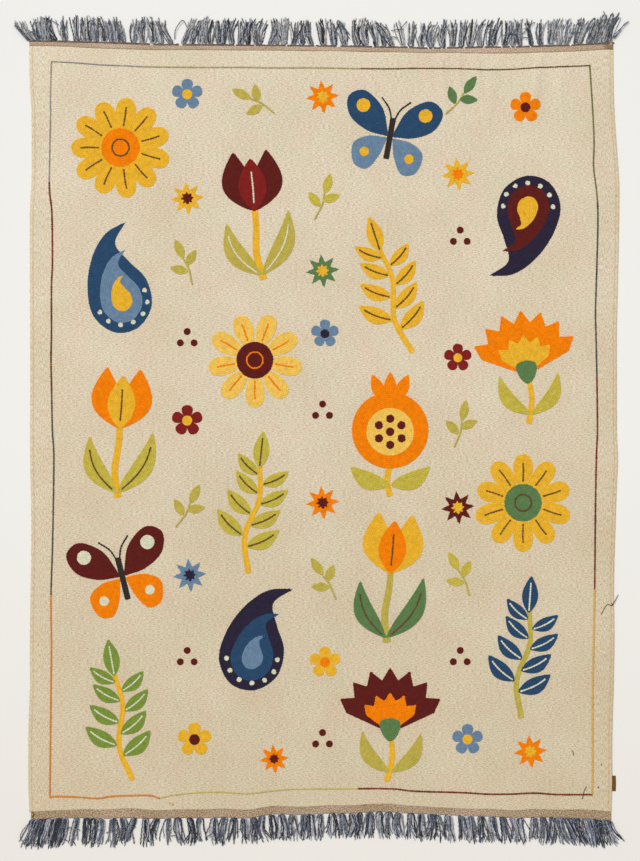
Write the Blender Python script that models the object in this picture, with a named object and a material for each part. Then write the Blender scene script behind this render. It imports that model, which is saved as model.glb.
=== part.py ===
"""Embroidered kilim rug lying flat on a floor, 1.21 x 1.59 m without its fringes and 1.71 m over them.

Six pieces, as a maker would cut and sew them: the ground cloth, a tape across each end, a fringe on its
heading at each end, and a loop label in the right selvedge. The rug is handmade, so no edge is straight.

+X runs along the short ends, +Y towards the far end, +Z up from the floor.
The origin is on the floor under the middle of the cloth.
Lengths are in metres, and in millimetres in the tables.
"""

import bisect
import random
from collections import namedtuple

import bmesh
import bpy

MM = 0.001
FAR = 1
NEAR = -1

# Cloth and tapes
CLOTH_WIDTH = 1.215
CLOTH_LENGTH = 1.593
GROUND_THICKNESS = 0.003
TAPE_THICKNESS = 0.0025
PIECE_GAP = 0.0003
SIDE_STEPS = 28

# Label
LABEL_MIDDLE_Y = -0.731
LABEL_LENGTH = 0.032
LABEL_REACH = 0.007
LABEL_THICKNESS = 0.0016
LABEL_FOLD_RADIUS = 0.0007
LABEL_FOLD_SEGMENTS = 3

# Fringes: bunches of yarn pulled through a heading, each parted into two or three locks
TUFTS = 60
THREE_LOCK_TUFTS = 30
HEADING_WIDTH = {FAR: 0.005, NEAR: 0.002}
HEADING_THICKNESS = 0.0025
TUFT_ROOT_WIDTH = 0.0108
TUFT_BODY_WIDTH = 0.0186
TUFT_TIP_WIDTH = 0.0090
TUFT_TIP_SPREAD = 0.0180
LOCK_GAP = 0.0010
LOCK_MIDDLE = 0.5
LOCK_MIDDLE_LEAN = 0.42
LOCK_BODY_HEIGHT = 0.0045
LOCK_TIP_HEIGHT = 0.0020
LOCK_CROWN = 0.30
LOCK_WANDER = 0.0015
SHORTEST_LOCK = 0.80
NUDGE_ROUNDS = 300
SEED = 5

# How far each selvedge bulges out past half the cloth's width
SideRow = namedtuple("SideRow", "y left right")
SIDE_EDGES = (
    SideRow(-790, 2.1, -7.2),
    SideRow(-707, 5.6, -5.0),
    SideRow(-583, 2.3, -5.4),
    SideRow(-459, 0.8, -1.4),
    SideRow(-335, 0.2, -4.6),
    SideRow(-211, -0.4, -0.8),
    SideRow(-86, 0.0, 3.5),
    SideRow(38, 0.2, 0.0),
    SideRow(162, 0.8, 0.0),
    SideRow(286, 1.4, 4.6),
    SideRow(410, 1.7, 6.6),
    SideRow(535, -3.9, 5.8),
    SideRow(659, -3.3, -3.3),
    SideRow(783, 1.2, -5.0),
)

# How far each end bulges out past half the cloth's length, and how wide its tape shows
EndRow = namedtuple("EndRow", "x bulge tape")
END_EDGES = {
    FAR: (
        EndRow(-585, 7.8, 10.0),
        EndRow(-461, 4.7, 11.5),
        EndRow(-336, 0.5, 10.0),
        EndRow(-212, -0.5, 9.5),
        EndRow(-88, -1.5, 9.5),
        EndRow(36, -3.0, 9.5),
        EndRow(160, -5.2, 9.5),
        EndRow(222, -7.2, 10.0),
        EndRow(285, -6.0, 10.5),
        EndRow(409, -4.0, 12.5),
        EndRow(502, -1.5, 12.0),
        EndRow(595, 3.0, 10.5),
    ),
    NEAR: (
        EndRow(-605, 8.6, 16.6),
        EndRow(-548, 6.1, 17.6),
        EndRow(-498, 4.1, 17.6),
        EndRow(-448, 6.1, 17.6),
        EndRow(-398, 3.0, 17.6),
        EndRow(-349, 5.1, 16.6),
        EndRow(-299, 4.1, 16.6),
        EndRow(-200, 2.0, 17.6),
        EndRow(-150, 6.1, 18.6),
        EndRow(-100, -1.1, 18.6),
        EndRow(-50, -2.1, 16.6),
        EndRow(24, -5.2, 16.1),
        EndRow(98, -8.3, 15.9),
        EndRow(148, -7.3, 16.1),
        EndRow(198, -4.2, 15.5),
        EndRow(247, -2.1, 14.5),
        EndRow(322, 1.0, 14.5),
        EndRow(396, 3.0, 14.5),
        EndRow(446, 2.0, 17.2),
        EndRow(545, 4.1, 17.6),
        EndRow(601, 8.6, 16.6),
    ),
}

# Which way the bunches lie: how far a tip leans along +X from its root, and the fringe's length there
LeanRow = namedtuple("LeanRow", "x lean length")
FRINGE_LEANS = {
    FAR: (
        LeanRow(-607, -36, 38),
        LeanRow(-581, -8, 47),
        LeanRow(-552, -22, 49),
        LeanRow(-510, -2, 52),
        LeanRow(-472, -1, 54),
        LeanRow(-450, -15, 52),
        LeanRow(-409, -14, 51),
        LeanRow(-388, 1, 53),
        LeanRow(-350, -8, 54),
        LeanRow(-308, -20, 50),
        LeanRow(-291, 20, 50),
        LeanRow(-248, 5, 55),
        LeanRow(-188, -2, 54),
        LeanRow(-150, -5, 53),
        LeanRow(-134, 14, 52),
        LeanRow(-75, 1, 54),
        LeanRow(-17, -15, 50),
        LeanRow(5, -5, 54),
        LeanRow(49, -10, 52),
        LeanRow(90, -2, 56),
        LeanRow(146, -20, 50),
        LeanRow(187, -3, 53),
        LeanRow(226, 11, 54),
        LeanRow(326, 7, 56),
        LeanRow(398, 3, 57),
        LeanRow(430, -2, 54),
        LeanRow(450, 7, 54),
        LeanRow(504, 11, 53),
        LeanRow(563, 13, 54),
        LeanRow(603, 20, 52),
    ),
    NEAR: (
        LeanRow(-607, -19, 60),
        LeanRow(-570, -14, 62),
        LeanRow(-510, -8, 60),
        LeanRow(-434, -6, 60),
        LeanRow(-388, -14, 59),
        LeanRow(-340, -11, 58),
        LeanRow(-300, 1, 57),
        LeanRow(-254, 9, 56),
        LeanRow(-205, 11, 57),
        LeanRow(-150, 2, 55),
        LeanRow(-80, 4, 54),
        LeanRow(-30, 5, 54),
        LeanRow(10, -8, 54),
        LeanRow(60, -2, 55),
        LeanRow(100, -7, 55),
        LeanRow(158, 3, 56),
        LeanRow(205, 8, 57),
        LeanRow(240, -3, 57),
        LeanRow(290, 11, 58),
        LeanRow(350, 8, 56),
        LeanRow(420, 6, 57),
        LeanRow(490, 15, 57),
        LeanRow(550, 11, 58),
        LeanRow(603, 27, 60),
    ),
}

# Colour as seen under a neutral light, and roughness
Finish = namedtuple("Finish", "red green blue roughness")
FINISHES = {
    "ground_wool": Finish(0.86, 0.80, 0.69, 0.95),
    "end_tape": Finish(0.70, 0.60, 0.50, 0.95),
    "fringe_wool": Finish(0.43, 0.44, 0.49, 0.90),
    "label_tape": Finish(0.45, 0.30, 0.20, 0.80),
}


def along(rows, column, at):
    """Read a column of a table at a place between its rows, on a smooth curve through them."""
    places = [row[0] for row in rows]
    values = [getattr(row, column) for row in rows]
    last = len(rows) - 1
    at = min(max(at, places[0]), places[last])
    i = min(bisect.bisect_right(places, at), last) - 1
    span = places[i + 1] - places[i]
    before, after = max(i - 1, 0), min(i + 2, last)
    slope_in = (values[i + 1] - values[before]) / (places[i + 1] - places[before]) * span
    slope_out = (values[after] - values[i]) / (places[after] - places[i]) * span
    t = (at - places[i]) / span
    rise = values[i + 1] - values[i]
    cubic = slope_in + slope_out - 2 * rise
    square = 3 * rise - 2 * slope_in - slope_out
    return values[i] + t * (slope_in + t * (square + t * cubic))


def side_edge(y, side):
    """X of the left (-1) or right (1) selvedge at y."""
    column = "right" if side > 0 else "left"
    return side * (CLOTH_WIDTH / 2 + MM * along(SIDE_EDGES, column, y / MM))


def end_edge(x, end):
    """Y of a tape's outer edge at x."""
    return end * (CLOTH_LENGTH / 2 + MM * along(END_EDGES[end], "bulge", x / MM))


def tape_inner_edge(x, end):
    """Y of a tape's inner edge at x, where the ground cloth begins."""
    return end_edge(x, end) - end * MM * along(END_EDGES[end], "tape", x / MM)


def end_stations(end):
    """X where one bunch of an end's fringe gives way to the next. The tape and the ground turn there too."""
    y = end * CLOTH_LENGTH / 2
    left, right = side_edge(y, -1), side_edge(y, 1)
    return [left + (right - left) * i / TUFTS for i in range(TUFTS + 1)]


def new_material(name):
    """A plain finish in the piece's colour."""
    finish = FINISHES[name]
    material = bpy.data.materials.new(name)
    material.use_nodes = True
    shader = material.node_tree.nodes["Principled BSDF"]
    linear = [channel**2.2 for channel in finish[:3]]
    shader.inputs["Base Color"].default_value = (*linear, 1.0)
    shader.inputs["Roughness"].default_value = finish.roughness
    shader.inputs["Metallic"].default_value = 0.0
    return material


def add_piece(name, data, material_name, collection):
    """Put a mesh or curve in the scene as one named piece with a material of its own."""
    piece = bpy.data.objects.new(name, data)
    data.materials.append(new_material(material_name))
    collection.objects.link(piece)
    return piece


def add_flat_sheet(name, outline, thickness, material_name, collection):
    """Lay a closed outline on the floor as a sheet."""
    curve = bpy.data.curves.new(name, "CURVE")
    curve.dimensions = "2D"
    curve.fill_mode = "BOTH"
    curve.extrude = thickness / 2
    spline = curve.splines.new("POLY")
    spline.points.add(len(outline) - 1)
    for point, (x, y) in zip(spline.points, outline):
        point.co = (x, y, 0.0, 1.0)
    spline.use_cyclic_u = True
    sheet = add_piece(name, curve, material_name, collection)
    sheet.location.z = thickness / 2


def add_ground(collection):
    """The embroidered cloth between the two tapes."""
    far = [(x, tape_inner_edge(x, FAR) - PIECE_GAP) for x in end_stations(FAR)]
    near = [(x, tape_inner_edge(x, NEAR) + PIECE_GAP) for x in end_stations(NEAR)]
    heights = [CLOTH_LENGTH * (i / SIDE_STEPS - 0.5) for i in range(1, SIDE_STEPS)]
    right = [(side_edge(y, 1), y) for y in reversed(heights)]
    left = [(side_edge(y, -1), y) for y in heights]
    outline = far + right + near[::-1] + left
    add_flat_sheet("kilim_ground", outline, GROUND_THICKNESS, "ground_wool", collection)


def add_end_tape(name, end, collection):
    """The tape sewn across one end of the ground."""
    inner = [(x, tape_inner_edge(x, end)) for x in end_stations(end)]
    outer = [(x, end_edge(x, end)) for x in end_stations(end)]
    add_flat_sheet(name, inner + outer[::-1], TAPE_THICKNESS, "end_tape", collection)


def nudge_apart(centres, halves):
    """Move neighbouring locks apart along the fringe until each pair has its gap."""
    pairs = range(len(centres) - 1)
    for _ in range(NUDGE_ROUNDS):
        for i in pairs:
            short = halves[i] + halves[i + 1] + LOCK_GAP - (centres[i + 1] - centres[i])
            if short > 0:
                centres[i] -= short / 2
                centres[i + 1] += short / 2
    for i in pairs:
        centres[i + 1] = max(centres[i + 1], centres[i] + halves[i] + halves[i + 1] + LOCK_GAP)


# A lock's place on the heading, and its centre and half its width at its root, middle and tip
Lock = namedtuple("Lock", "tuft_x centres halves reaches")


def plan_locks(end):
    """Work out one end's locks, a list for each bunch."""
    draw = random.Random(SEED + end)
    stations = end_stations(end)
    counts = [3] * THREE_LOCK_TUFTS + [2] * (TUFTS - THREE_LOCK_TUFTS)
    draw.shuffle(counts)
    middles, tips, owners = [], [], []
    middle_halves, tip_halves = [], []
    for tuft, count in enumerate(counts):
        tuft_x = (stations[tuft] + stations[tuft + 1]) / 2
        lean = MM * along(FRINGE_LEANS[end], "lean", tuft_x / MM)
        for k in range(count):
            place = (k - (count - 1) / 2) / count
            wander = draw.uniform(-LOCK_WANDER, LOCK_WANDER)
            middles.append(tuft_x + LOCK_MIDDLE_LEAN * lean + place * TUFT_BODY_WIDTH + wander)
            tips.append(tuft_x + lean + place * TUFT_TIP_SPREAD - wander)
            middle_halves.append((TUFT_BODY_WIDTH / count - LOCK_GAP) / 2)
            tip_halves.append(TUFT_TIP_WIDTH / count / 2)
            owners.append((tuft, place, count))
    nudge_apart(middles, middle_halves)
    nudge_apart(tips, tip_halves)

    tufts = [[] for _ in range(TUFTS)]
    for i, (tuft, place, count) in enumerate(owners):
        tuft_x = (stations[tuft] + stations[tuft + 1]) / 2
        root = tuft_x + place * (TUFT_ROOT_WIDTH + LOCK_GAP)
        root_half = ((TUFT_ROOT_WIDTH + LOCK_GAP) / count - LOCK_GAP) / 2
        length = MM * along(FRINGE_LEANS[end], "length", tuft_x / MM)
        middle_reach = LOCK_MIDDLE * length
        share = draw.uniform(SHORTEST_LOCK, 1.0)
        tip_reach = middle_reach + share * (length - middle_reach)
        tip = middles[i] + share * (tips[i] - middles[i])
        tufts[tuft].append(
            Lock(
                tuft_x,
                (root, middles[i], tip),
                (root_half, middle_halves[i], tip_halves[i]),
                (0.0, middle_reach, tip_reach),
            )
        )
    return tufts


def add_fringe(name, end, collection):
    """A heading with its locks, drawn in plan on the floor and then raised to their heights."""
    bm = bmesh.new()
    height = bm.verts.layers.float.new("height")
    inward = bm.verts.layers.float.new("inward")

    def corner(x, y, z, pull=0.0):
        vert = bm.verts.new((x, y, 0.0))
        vert[height] = z
        vert[inward] = pull
        return vert

    def heading_outer(x):
        return end_edge(x, end) + end * (PIECE_GAP + HEADING_WIDTH[end])

    stations = end_stations(end)
    inner = [corner(x, end_edge(x, end) + end * PIECE_GAP, HEADING_THICKNESS) for x in stations]
    outer = [corner(x, heading_outer(x), HEADING_THICKNESS) for x in stations]
    for tuft, locks in enumerate(plan_locks(end)):
        rim = []
        for lock in locks:
            base = heading_outer(lock.tuft_x)
            sides = []
            heights = (HEADING_THICKNESS, LOCK_BODY_HEIGHT, LOCK_TIP_HEIGHT)
            for x, half, reach, z in zip(lock.centres, lock.halves, lock.reaches, heights):
                y = heading_outer(x) if reach == 0.0 else base + end * reach
                crown = half * LOCK_CROWN if reach else 0.0
                sides.append((corner(x - half, y, z, crown), corner(x + half, y, z, -crown)))
            for (left, right), (next_left, next_right) in zip(sides, sides[1:]):
                bm.faces.new((left, right, next_right, next_left))
            rim += sides[0]
        bm.faces.new((inner[tuft + 1], inner[tuft], outer[tuft], *rim, outer[tuft + 1]))

    plan = list(bm.faces)
    raised = bmesh.ops.extrude_face_region(bm, geom=plan, use_keep_orig=True)
    for item in raised["geom"]:
        if isinstance(item, bmesh.types.BMVert):
            item.co.x += item[inward]
            item.co.z = item[height]
    bmesh.ops.recalc_face_normals(bm, faces=bm.faces)
    mesh = bpy.data.meshes.new(name)
    bm.to_mesh(mesh)
    bm.free()
    add_piece(name, mesh, "fringe_wool", collection)


def add_label(collection):
    """A tape folded in two and caught in the selvedge, its fold outwards."""
    steps = [LABEL_MIDDLE_Y + LABEL_LENGTH * (i / 4 - 0.5) for i in range(5)]
    start = max(side_edge(y, 1) for y in steps) + PIECE_GAP
    bm = bmesh.new()
    bmesh.ops.create_cube(bm, size=1.0)
    bmesh.ops.scale(bm, vec=(LABEL_REACH, LABEL_LENGTH, LABEL_THICKNESS), verts=bm.verts)
    fold = [e for e in bm.edges if all(v.co.x > 0 for v in e.verts) and e.verts[0].co.z == e.verts[1].co.z]
    bmesh.ops.bevel(
        bm,
        geom=fold,
        offset=LABEL_FOLD_RADIUS,
        segments=LABEL_FOLD_SEGMENTS,
        profile=0.5,
        affect="EDGES",
    )
    mesh = bpy.data.meshes.new("label_tab")
    bm.to_mesh(mesh)
    bm.free()
    label = add_piece("label_tab", mesh, "label_tape", collection)
    label.location = (start + LABEL_REACH / 2, LABEL_MIDDLE_Y, LABEL_THICKNESS / 2)


def main():
    for old in list(bpy.data.objects):
        bpy.data.objects.remove(old, do_unlink=True)
    collection = bpy.data.collections.new("embroidered_kilim_rug")
    bpy.context.scene.collection.children.link(collection)
    add_ground(collection)
    add_end_tape("end_band_top", FAR, collection)
    add_end_tape("end_band_bottom", NEAR, collection)
    add_fringe("fringe_top", FAR, collection)
    add_fringe("fringe_bottom", NEAR, collection)
    add_label(collection)


main()
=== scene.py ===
"""Looks of the embroidered kilim rug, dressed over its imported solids.

+X runs along the short ends, +Y towards the far end, +Z up from the floor.
Lengths are in millimetres until a mesh is made, and then in metres.
"""

import bisect
import math
from collections import namedtuple

import bpy
import numpy as np
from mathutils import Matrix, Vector
from mathutils.geometry import delaunay_2d_cdt


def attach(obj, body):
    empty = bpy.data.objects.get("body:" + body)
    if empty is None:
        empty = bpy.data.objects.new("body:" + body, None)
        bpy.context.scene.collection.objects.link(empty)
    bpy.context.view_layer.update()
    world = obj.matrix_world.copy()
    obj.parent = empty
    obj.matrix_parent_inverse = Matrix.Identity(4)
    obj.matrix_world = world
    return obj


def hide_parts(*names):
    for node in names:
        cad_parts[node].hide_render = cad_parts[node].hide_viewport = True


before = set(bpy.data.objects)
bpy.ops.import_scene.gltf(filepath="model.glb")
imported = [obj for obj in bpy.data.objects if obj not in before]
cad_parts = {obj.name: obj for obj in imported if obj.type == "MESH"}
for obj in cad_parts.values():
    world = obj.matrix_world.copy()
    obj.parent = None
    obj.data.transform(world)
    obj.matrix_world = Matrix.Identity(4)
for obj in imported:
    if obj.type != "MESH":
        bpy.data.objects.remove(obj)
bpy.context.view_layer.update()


def table(kind, *rows):
    """Rows of numbers as rows with named columns."""
    return tuple(kind._make(row) for row in rows)


MM = 0.001
FAR = 1
NEAR = -1
NAMES = {FAR: "top", NEAR: "bottom"}
SEED = 11

# Cloth between its selvedges and over its tapes, with the flat size of its ground in metres
CLOTH_WIDTH = 1215.0
CLOTH_LENGTH = 1593.0
GROUND_THICKNESS = 3.0
FLAT_GROUND = (1.215, 1.566)

# How wide the heading of each fringe is, how far out of the tape its yarns start, and how far the
# left end of each tape is turned back
HEADING_WIDTH = {FAR: 5.0, NEAR: 2.0}
ROOT_START = {FAR: 3.0, NEAR: -1.2}
TURNED_BACK = {FAR: 0.5, NEAR: 3.0}

# Millimetres on the floor to one pixel of the photograph, and the pixel over the origin
PIXEL = 2.07
PHOTO_MIDDLE = (322.5, 430.25)

# How far each selvedge bulges out past half the cloth's width, finer than in the solids
SideRow = namedtuple("SideRow", "y left right")
SIDE_EDGES = table(
    SideRow,
    (-790, -0.6, -9.7), (-734, 1.5, -7.8), (-631, 1.7, -7.8), (-527, -1.6, -4.9), (-424, -1.6, -3.3),
    (-320, -3.3, -4.3), (-217, -4.5, -1.8), (-113, -3.3, 1.7), (-62, -2.2, 4.0), (-10, -1.8, 1.9),
    (94, -2.2, 1.5), (197, -2.0, 1.5), (301, -1.4, 3.6), (404, -1.4, 5.8), (456, -1.6, 6.5),
    (508, -4.5, 6.7), (559, -5.3, 3.6), (663, -4.5, -3.5), (715, -1.4, -5.1), (766, -0.2, -5.5),
)

# How far each end bulges out past half the cloth's length, and how wide its tape shows
EndRow = namedtuple("EndRow", "x bulge tape")
END_EDGES = {
    FAR: table(
        EndRow,
        (-593, 7.8, 8.7), (-543, 6.8, 8.5), (-494, 5.5, 9.9), (-461, 4.7, 10.7), (-411, 3.0, 10.5),
        (-336, 0.5, 10.1), (-274, 0.0, 9.1), (-212, -0.5, 9.2), (-150, -1.0, 9.2), (-88, -1.5, 8.9),
        (-26, -2.3, 9.2), (36, -3.0, 8.6), (98, -4.1, 9.4), (160, -5.2, 8.5), (191, -6.2, 8.4),
        (223, -7.2, 8.4), (254, -6.6, 8.7), (285, -6.0, 9.5), (326, -5.3, 11.2), (378, -4.5, 11.9),
        (419, -3.7, 12.1), (461, -2.6, 11.8), (502, -1.5, 11.9), (543, 0.5, 11.8), (591, 2.8, 11.0),
    ),
    NEAR: table(
        EndRow,
        (-599, 10.2, 16.6), (-568, 8.1, 16.2), (-543, 7.2, 16.4), (-519, 6.7, 16.8), (-494, 6.5, 17.8),
        (-469, 7.5, 18.3), (-444, 7.8, 18.3), (-419, 6.6, 18.9), (-394, 6.3, 19.4), (-369, 7.4, 18.4),
        (-345, 7.9, 17.1), (-320, 7.1, 16.7), (-295, 6.4, 17.1), (-245, 6.3, 17.3), (-220, 5.6, 17.2),
        (-196, 5.5, 17.7), (-171, 6.9, 17.6), (-146, 6.0, 16.5), (-121, 1.1, 16.0), (-96, -1.6, 16.4),
        (-71, -1.0, 16.4), (-47, -0.3, 16.0), (-22, -1.3, 15.6), (3, -3.0, 15.7), (28, -3.4, 16.1),
        (53, -3.4, 15.8), (78, -4.4, 15.4), (102, -6.1, 16.0), (127, -6.1, 16.5), (152, -5.3, 16.3),
        (177, -3.4, 15.8), (227, -1.2, 15.1), (276, 1.1, 14.6), (326, 2.7, 14.7), (351, 3.4, 15.5),
        (376, 5.0, 15.8), (401, 6.3, 15.1), (425, 5.7, 15.6), (450, 4.7, 16.5), (475, 5.4, 16.3),
        (500, 6.5, 16.6), (525, 7.1, 17.7), (550, 8.1, 19.0), (574, 10.4, 19.7), (599, 12.4, 19.3),
    ),
}

# Soft ripples: where each starts and ends in the photograph's pixels, how wide and how high it is
Ripple = namedtuple("Ripple", "start end width height")
RIPPLES = table(
    Ripple,
    ((441, 50), (447, 112), 8.0, 2.6), ((457.5, 50), (461, 108), 8.0, 2.6),
    ((475, 50), (478, 90), 10.0, 2.0), ((493, 68), (489, 112), 11.0, 2.2),
    ((541, 50), (533, 110), 10.0, 3.0), ((567, 50), (557, 112), 15.0, 1.8),
)

# A ripple starts this share of its length early, ends this share along and fades over this share
RIPPLE_LEAD = 0.2
RIPPLE_END = 1.4
RIPPLE_TAIL = 0.7

# Lift of the cloth off the floor: its least, its swell, the half width and half length that it ends
# at, and how far inside them the swell and the ripples fade
FLOOR_GAP = 0.1
SWELL = 0.8
LIFT_HALF = (606, 790)
SWELL_FADE = (60, 70)
RIPPLE_FADE = 14

# Meshes of the cloth and the tapes: places near an edge and how far in the even ones start, the rims,
# the distance between even places, and how a tape lies
EDGE_STATIONS = (0.0, 0.5, 1.2, 2.2, 3.6, 5.5, 7.5, 10.0)
EDGE_REACH = 16.0
RIM_TOP = 0.45
RIM_BOTTOM = 0.35
GROUND_PITCH = (5.2, 11.0)
GROUND_RIM = 2.5
TAPE_STATIONS = (0.0, 0.5, 1.4, 3.0, 6.0, 8.0, 11.0, 12.6, 13.5, 14.0)
TAPE_PITCH = 3.2
TAPE_THICKNESS = 2.2
TAPE_RIM = 2.0
TAPE_MIDDLE = 6
TAPE_OVERLAP = 0.6
TAPE_LIFT = 0.25
FRAY = (-0.3, 0.4)

# How long the fringe is at places along each end
LengthRow = namedtuple("LengthRow", "x length")
FRINGE_LENGTHS = {
    FAR: table(
        LengthRow,
        (-607, 38), (-581, 47), (-552, 49), (-510, 52), (-472, 54), (-450, 52), (-409, 51), (-388, 53),
        (-350, 54), (-308, 50), (-291, 50), (-248, 55), (-188, 54), (-150, 53), (-134, 52), (-75, 54),
        (-17, 50), (5, 54), (49, 52), (90, 56), (146, 50), (187, 53), (226, 54), (326, 56), (398, 57),
        (430, 54), (450, 54), (504, 53), (555, 54), (575, 58), (603, 61),
    ),
    NEAR: table(
        LengthRow,
        (-607, 58), (-570, 60), (-510, 58), (-434, 58), (-388, 57), (-340, 56), (-300, 55), (-254, 54),
        (-205, 55), (-150, 53), (-80, 52), (-30, 52), (10, 52), (60, 53), (100, 53), (158, 54), (205, 55),
        (240, 55), (290, 56), (350, 54), (420, 55), (490, 55), (550, 56), (582, 55), (592, 46), (603, 43),
    ),
}

# Where the stitched border line runs, from corner to corner, and its colour up to each place
BORDER_SIDES = {
    "far": (
        (-561, 763), (-507, 760), (-456, 756), (-405, 754), (-357, 752), (-256, 751), (-157, 751),
        (-108, 750), (-8, 750), (41, 749), (140, 748), (191, 749), (290, 748), (339, 746), (389, 747),
        (439, 750), (488, 752), (538, 754), (553, 755),
    ),
    "near": (
        (-564, -760), (-555, -758), (-511, -759), (-466, -762), (-439, -758), (-397, -756), (-356, -756),
        (-340, -761), (-331, -760), (-315, -756), (-298, -754), (-257, -750), (-207, -749), (-157, -752),
        (-108, -747), (-58, -743), (41, -742), (141, -742), (191, -747), (290, -750), (339, -753),
        (389, -753), (439, -751), (488, -754), (558, -754),
    ),
    "left": (
        (-561, 763), (-563, 695), (-563, 645), (-565, 546), (-565, 496), (-560, 447), (-559, 347),
        (-561, 297), (-561, 198), (-562, 148), (-561, 99), (-559, -1), (-556, -50), (-557, -149),
        (-559, -249), (-562, -348), (-561, -447), (-562, -547), (-563, -646), (-564, -746), (-564, -760),
    ),
    "right": (
        (553, 755), (557, 695), (560, 645), (562, 595), (561, 546), (567, 496), (570, 447), (568, 347),
        (565, 247), (566, 198), (568, 99), (569, -1), (567, -50), (565, -149), (564, -249), (563, -348),
        (561, -447), (559, -547), (559, -646), (559, -695), (558, -754),
    ),
}
BORDER_COLOURS = {
    "far": ((-372, "violet"), (78, "reed"), (math.inf, "rust")),
    "near": ((-338, "tangerine"), (73, "hay"), (math.inf, "claret")),
    "left": ((-342, "tangerine"), (79, "slate"), (514, "claret"), (math.inf, "violet")),
    "right": ((-331, "amber"), (110, "claret"), (470, "slate"), (math.inf, "moss")),
}

# Two loose stitches outside the line, in the photograph's pixels
STRAY_STITCHES = ((169.8, 803.0), (172.6, 804.2))

# Yarn colours as they look in daylight, in 8-bit steps
YARNS = {
    "gold": (228, 176, 46), "straw": (234, 192, 88), "orange": (238, 128, 2), "tangerine": (204, 133, 69),
    "olive": (186, 170, 76), "lime": (193, 177, 70), "moss": (114, 114, 70), "reed": (168, 158, 112),
    "hay": (192, 176, 106), "amber": (206, 167, 101), "green": (92, 124, 76), "grass": (122, 146, 60),
    "navy": (44, 38, 58), "slate": (84, 78, 74), "blue": (42, 73, 105), "sky": (106, 132, 158),
    "violet": (153, 147, 139), "maroon": (94, 30, 26), "claret": (127, 64, 42), "red": (128, 32, 30),
    "rust": (90, 80, 48), "cream": (214, 212, 186), "ink": (52, 44, 40),
}

# A second colour that a few of them turn to along their length
TURNS = {"rust": (112, 72, 52), "violet": (138, 136, 140), "slate": (72, 74, 78), "claret": (110, 52, 36)}

# How unevenly a few of them are dyed, beside the usual
SPREADS = {"claret": 0.4, "rust": 0.3, "violet": 0.3}
USUAL_SPREAD = 0.18

# The far heading's stitches, the hairs and the label: colour and unevenness
DARK_DYE = ((116, 102, 96), 0.45)
HAIR_DYE = ((92, 52, 42), 0.2)
LABEL_DYE = ((106, 72, 40), 0.35)

# How wide the border line is in a few of its colours, beside the usual
WIDE_LINES = {"tangerine": 1.2, "amber": 1.4, "claret": 1.1, "hay": 0.85, "violet": 0.82, "rust": 0.82}

# Painted light and shade over the ground: from its near end to its far end it goes from darker and warmer,
# where the light falls off, to lighter, and from left to right it goes from lighter, where more light falls,
# to darker at the right selvedge
PAINTED_SHADE_ALONG = (
    (0.0, (0.918, 0.894, 0.832, 1.0)),
    (0.3, (0.939, 0.923, 0.875, 1.0)),
    (0.55, (0.978, 0.963, 0.942, 1.0)),
    (1.0, (0.99, 1.0, 1.0, 1.0)),
)
PAINTED_LIGHT_ACROSS = (
    (0.0, (1.0, 0.99, 0.98, 1.0)),
    (0.06, (0.985, 0.978, 0.971, 1.0)),
    (0.35, (0.966, 0.966, 0.966, 1.0)),
    (0.93, (0.966, 0.961, 0.952, 1.0)),
    (1.0, (0.932, 0.923, 0.899, 1.0)),
)

# The ground's wool from dark to light, its blotches, a slight change of hue, and the painted shade of a
# groove inside each selvedge
WHITE = (255, 255, 255)
GROUND_DYES = (
    (0.38, (172, 157, 136)), (0.47, (218, 204, 180)), (0.53, (233, 221, 200)), (0.62, (251, 245, 232)),
)
BLOTCH_DYES = ((0.3, (246, 243, 236)), (0.7, WHITE))
HUE_STOPS = ((0.35, (1.0, 0.965, 0.955, 1.0)), (0.65, (0.975, 1.0, 0.97, 1.0)))
GROOVE_SHADE_DYES = (
    (0.0, (255, 252, 244)), (0.42, (255, 254, 248)), (0.5, (243, 233, 225)), (0.62, (246, 237, 231)),
    (0.74, WHITE),
)

# How many streaks of the weave there are to a metre across and up, inside the margins and in them,
# with how many specks, blotches and changes of hue, and what makes the stops of the groove's painted shade
# of metres
FLAT_ROWS = (170.0, 640.0)
TALL_ROWS = (640.0, 130.0)
MARGIN_WIDTH = 0.045
SPECKS = 760.0
BLOTCHES = 6.0
HUES = 15.0
GROOVE_SHADE_SCALE = 80.0

# The tapes' patches and stretches and how many there are to a metre, what makes the stops of the seam
# and of the last stretch of metres, and each tape's colours
PATCH_DYES = ((0.35, (255, 226, 222)), (0.5, (248, 246, 240)), (0.65, (232, 240, 218)))
STRETCH_DYES = ((0.4, (238, 236, 224)), (0.6, WHITE))
TAPE_WEAVE = (420.0, 480.0)
TAPE_PATCHES = (130.0, 260.0)
TAPE_STRETCHES = (9.0, 30.0)
SEAM_SCALE = 60.0
TAPE_SCALE = 0.8
TapeLook = namedtuple("TapeLook", "weave seam last")
TAPE_LOOKS = {
    FAR: TapeLook(((142, 111, 95), (200, 178, 162), (240, 222, 208)), (203, 212, 200), (204, 192, 168)),
    NEAR: TapeLook(((117, 97, 79), (182, 160, 139), (227, 204, 180)), (244, 246, 244), WHITE),
}

# How rough wool is, how its fibres sheen, and how many spots there are to a metre of yarn
SPECULAR = 0.08
SHEEN_ROUGHNESS = 0.6
WOOL_ROUGHNESS = 0.95
YARN_SHEEN = 0.03
CLOTH_SHEEN = 0.1
STITCH_SPOTS = 150.0
FIBRE_SPOTS = 420.0
TURN_SPOTS = 40.0
FUZZ = 1400.0

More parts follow.
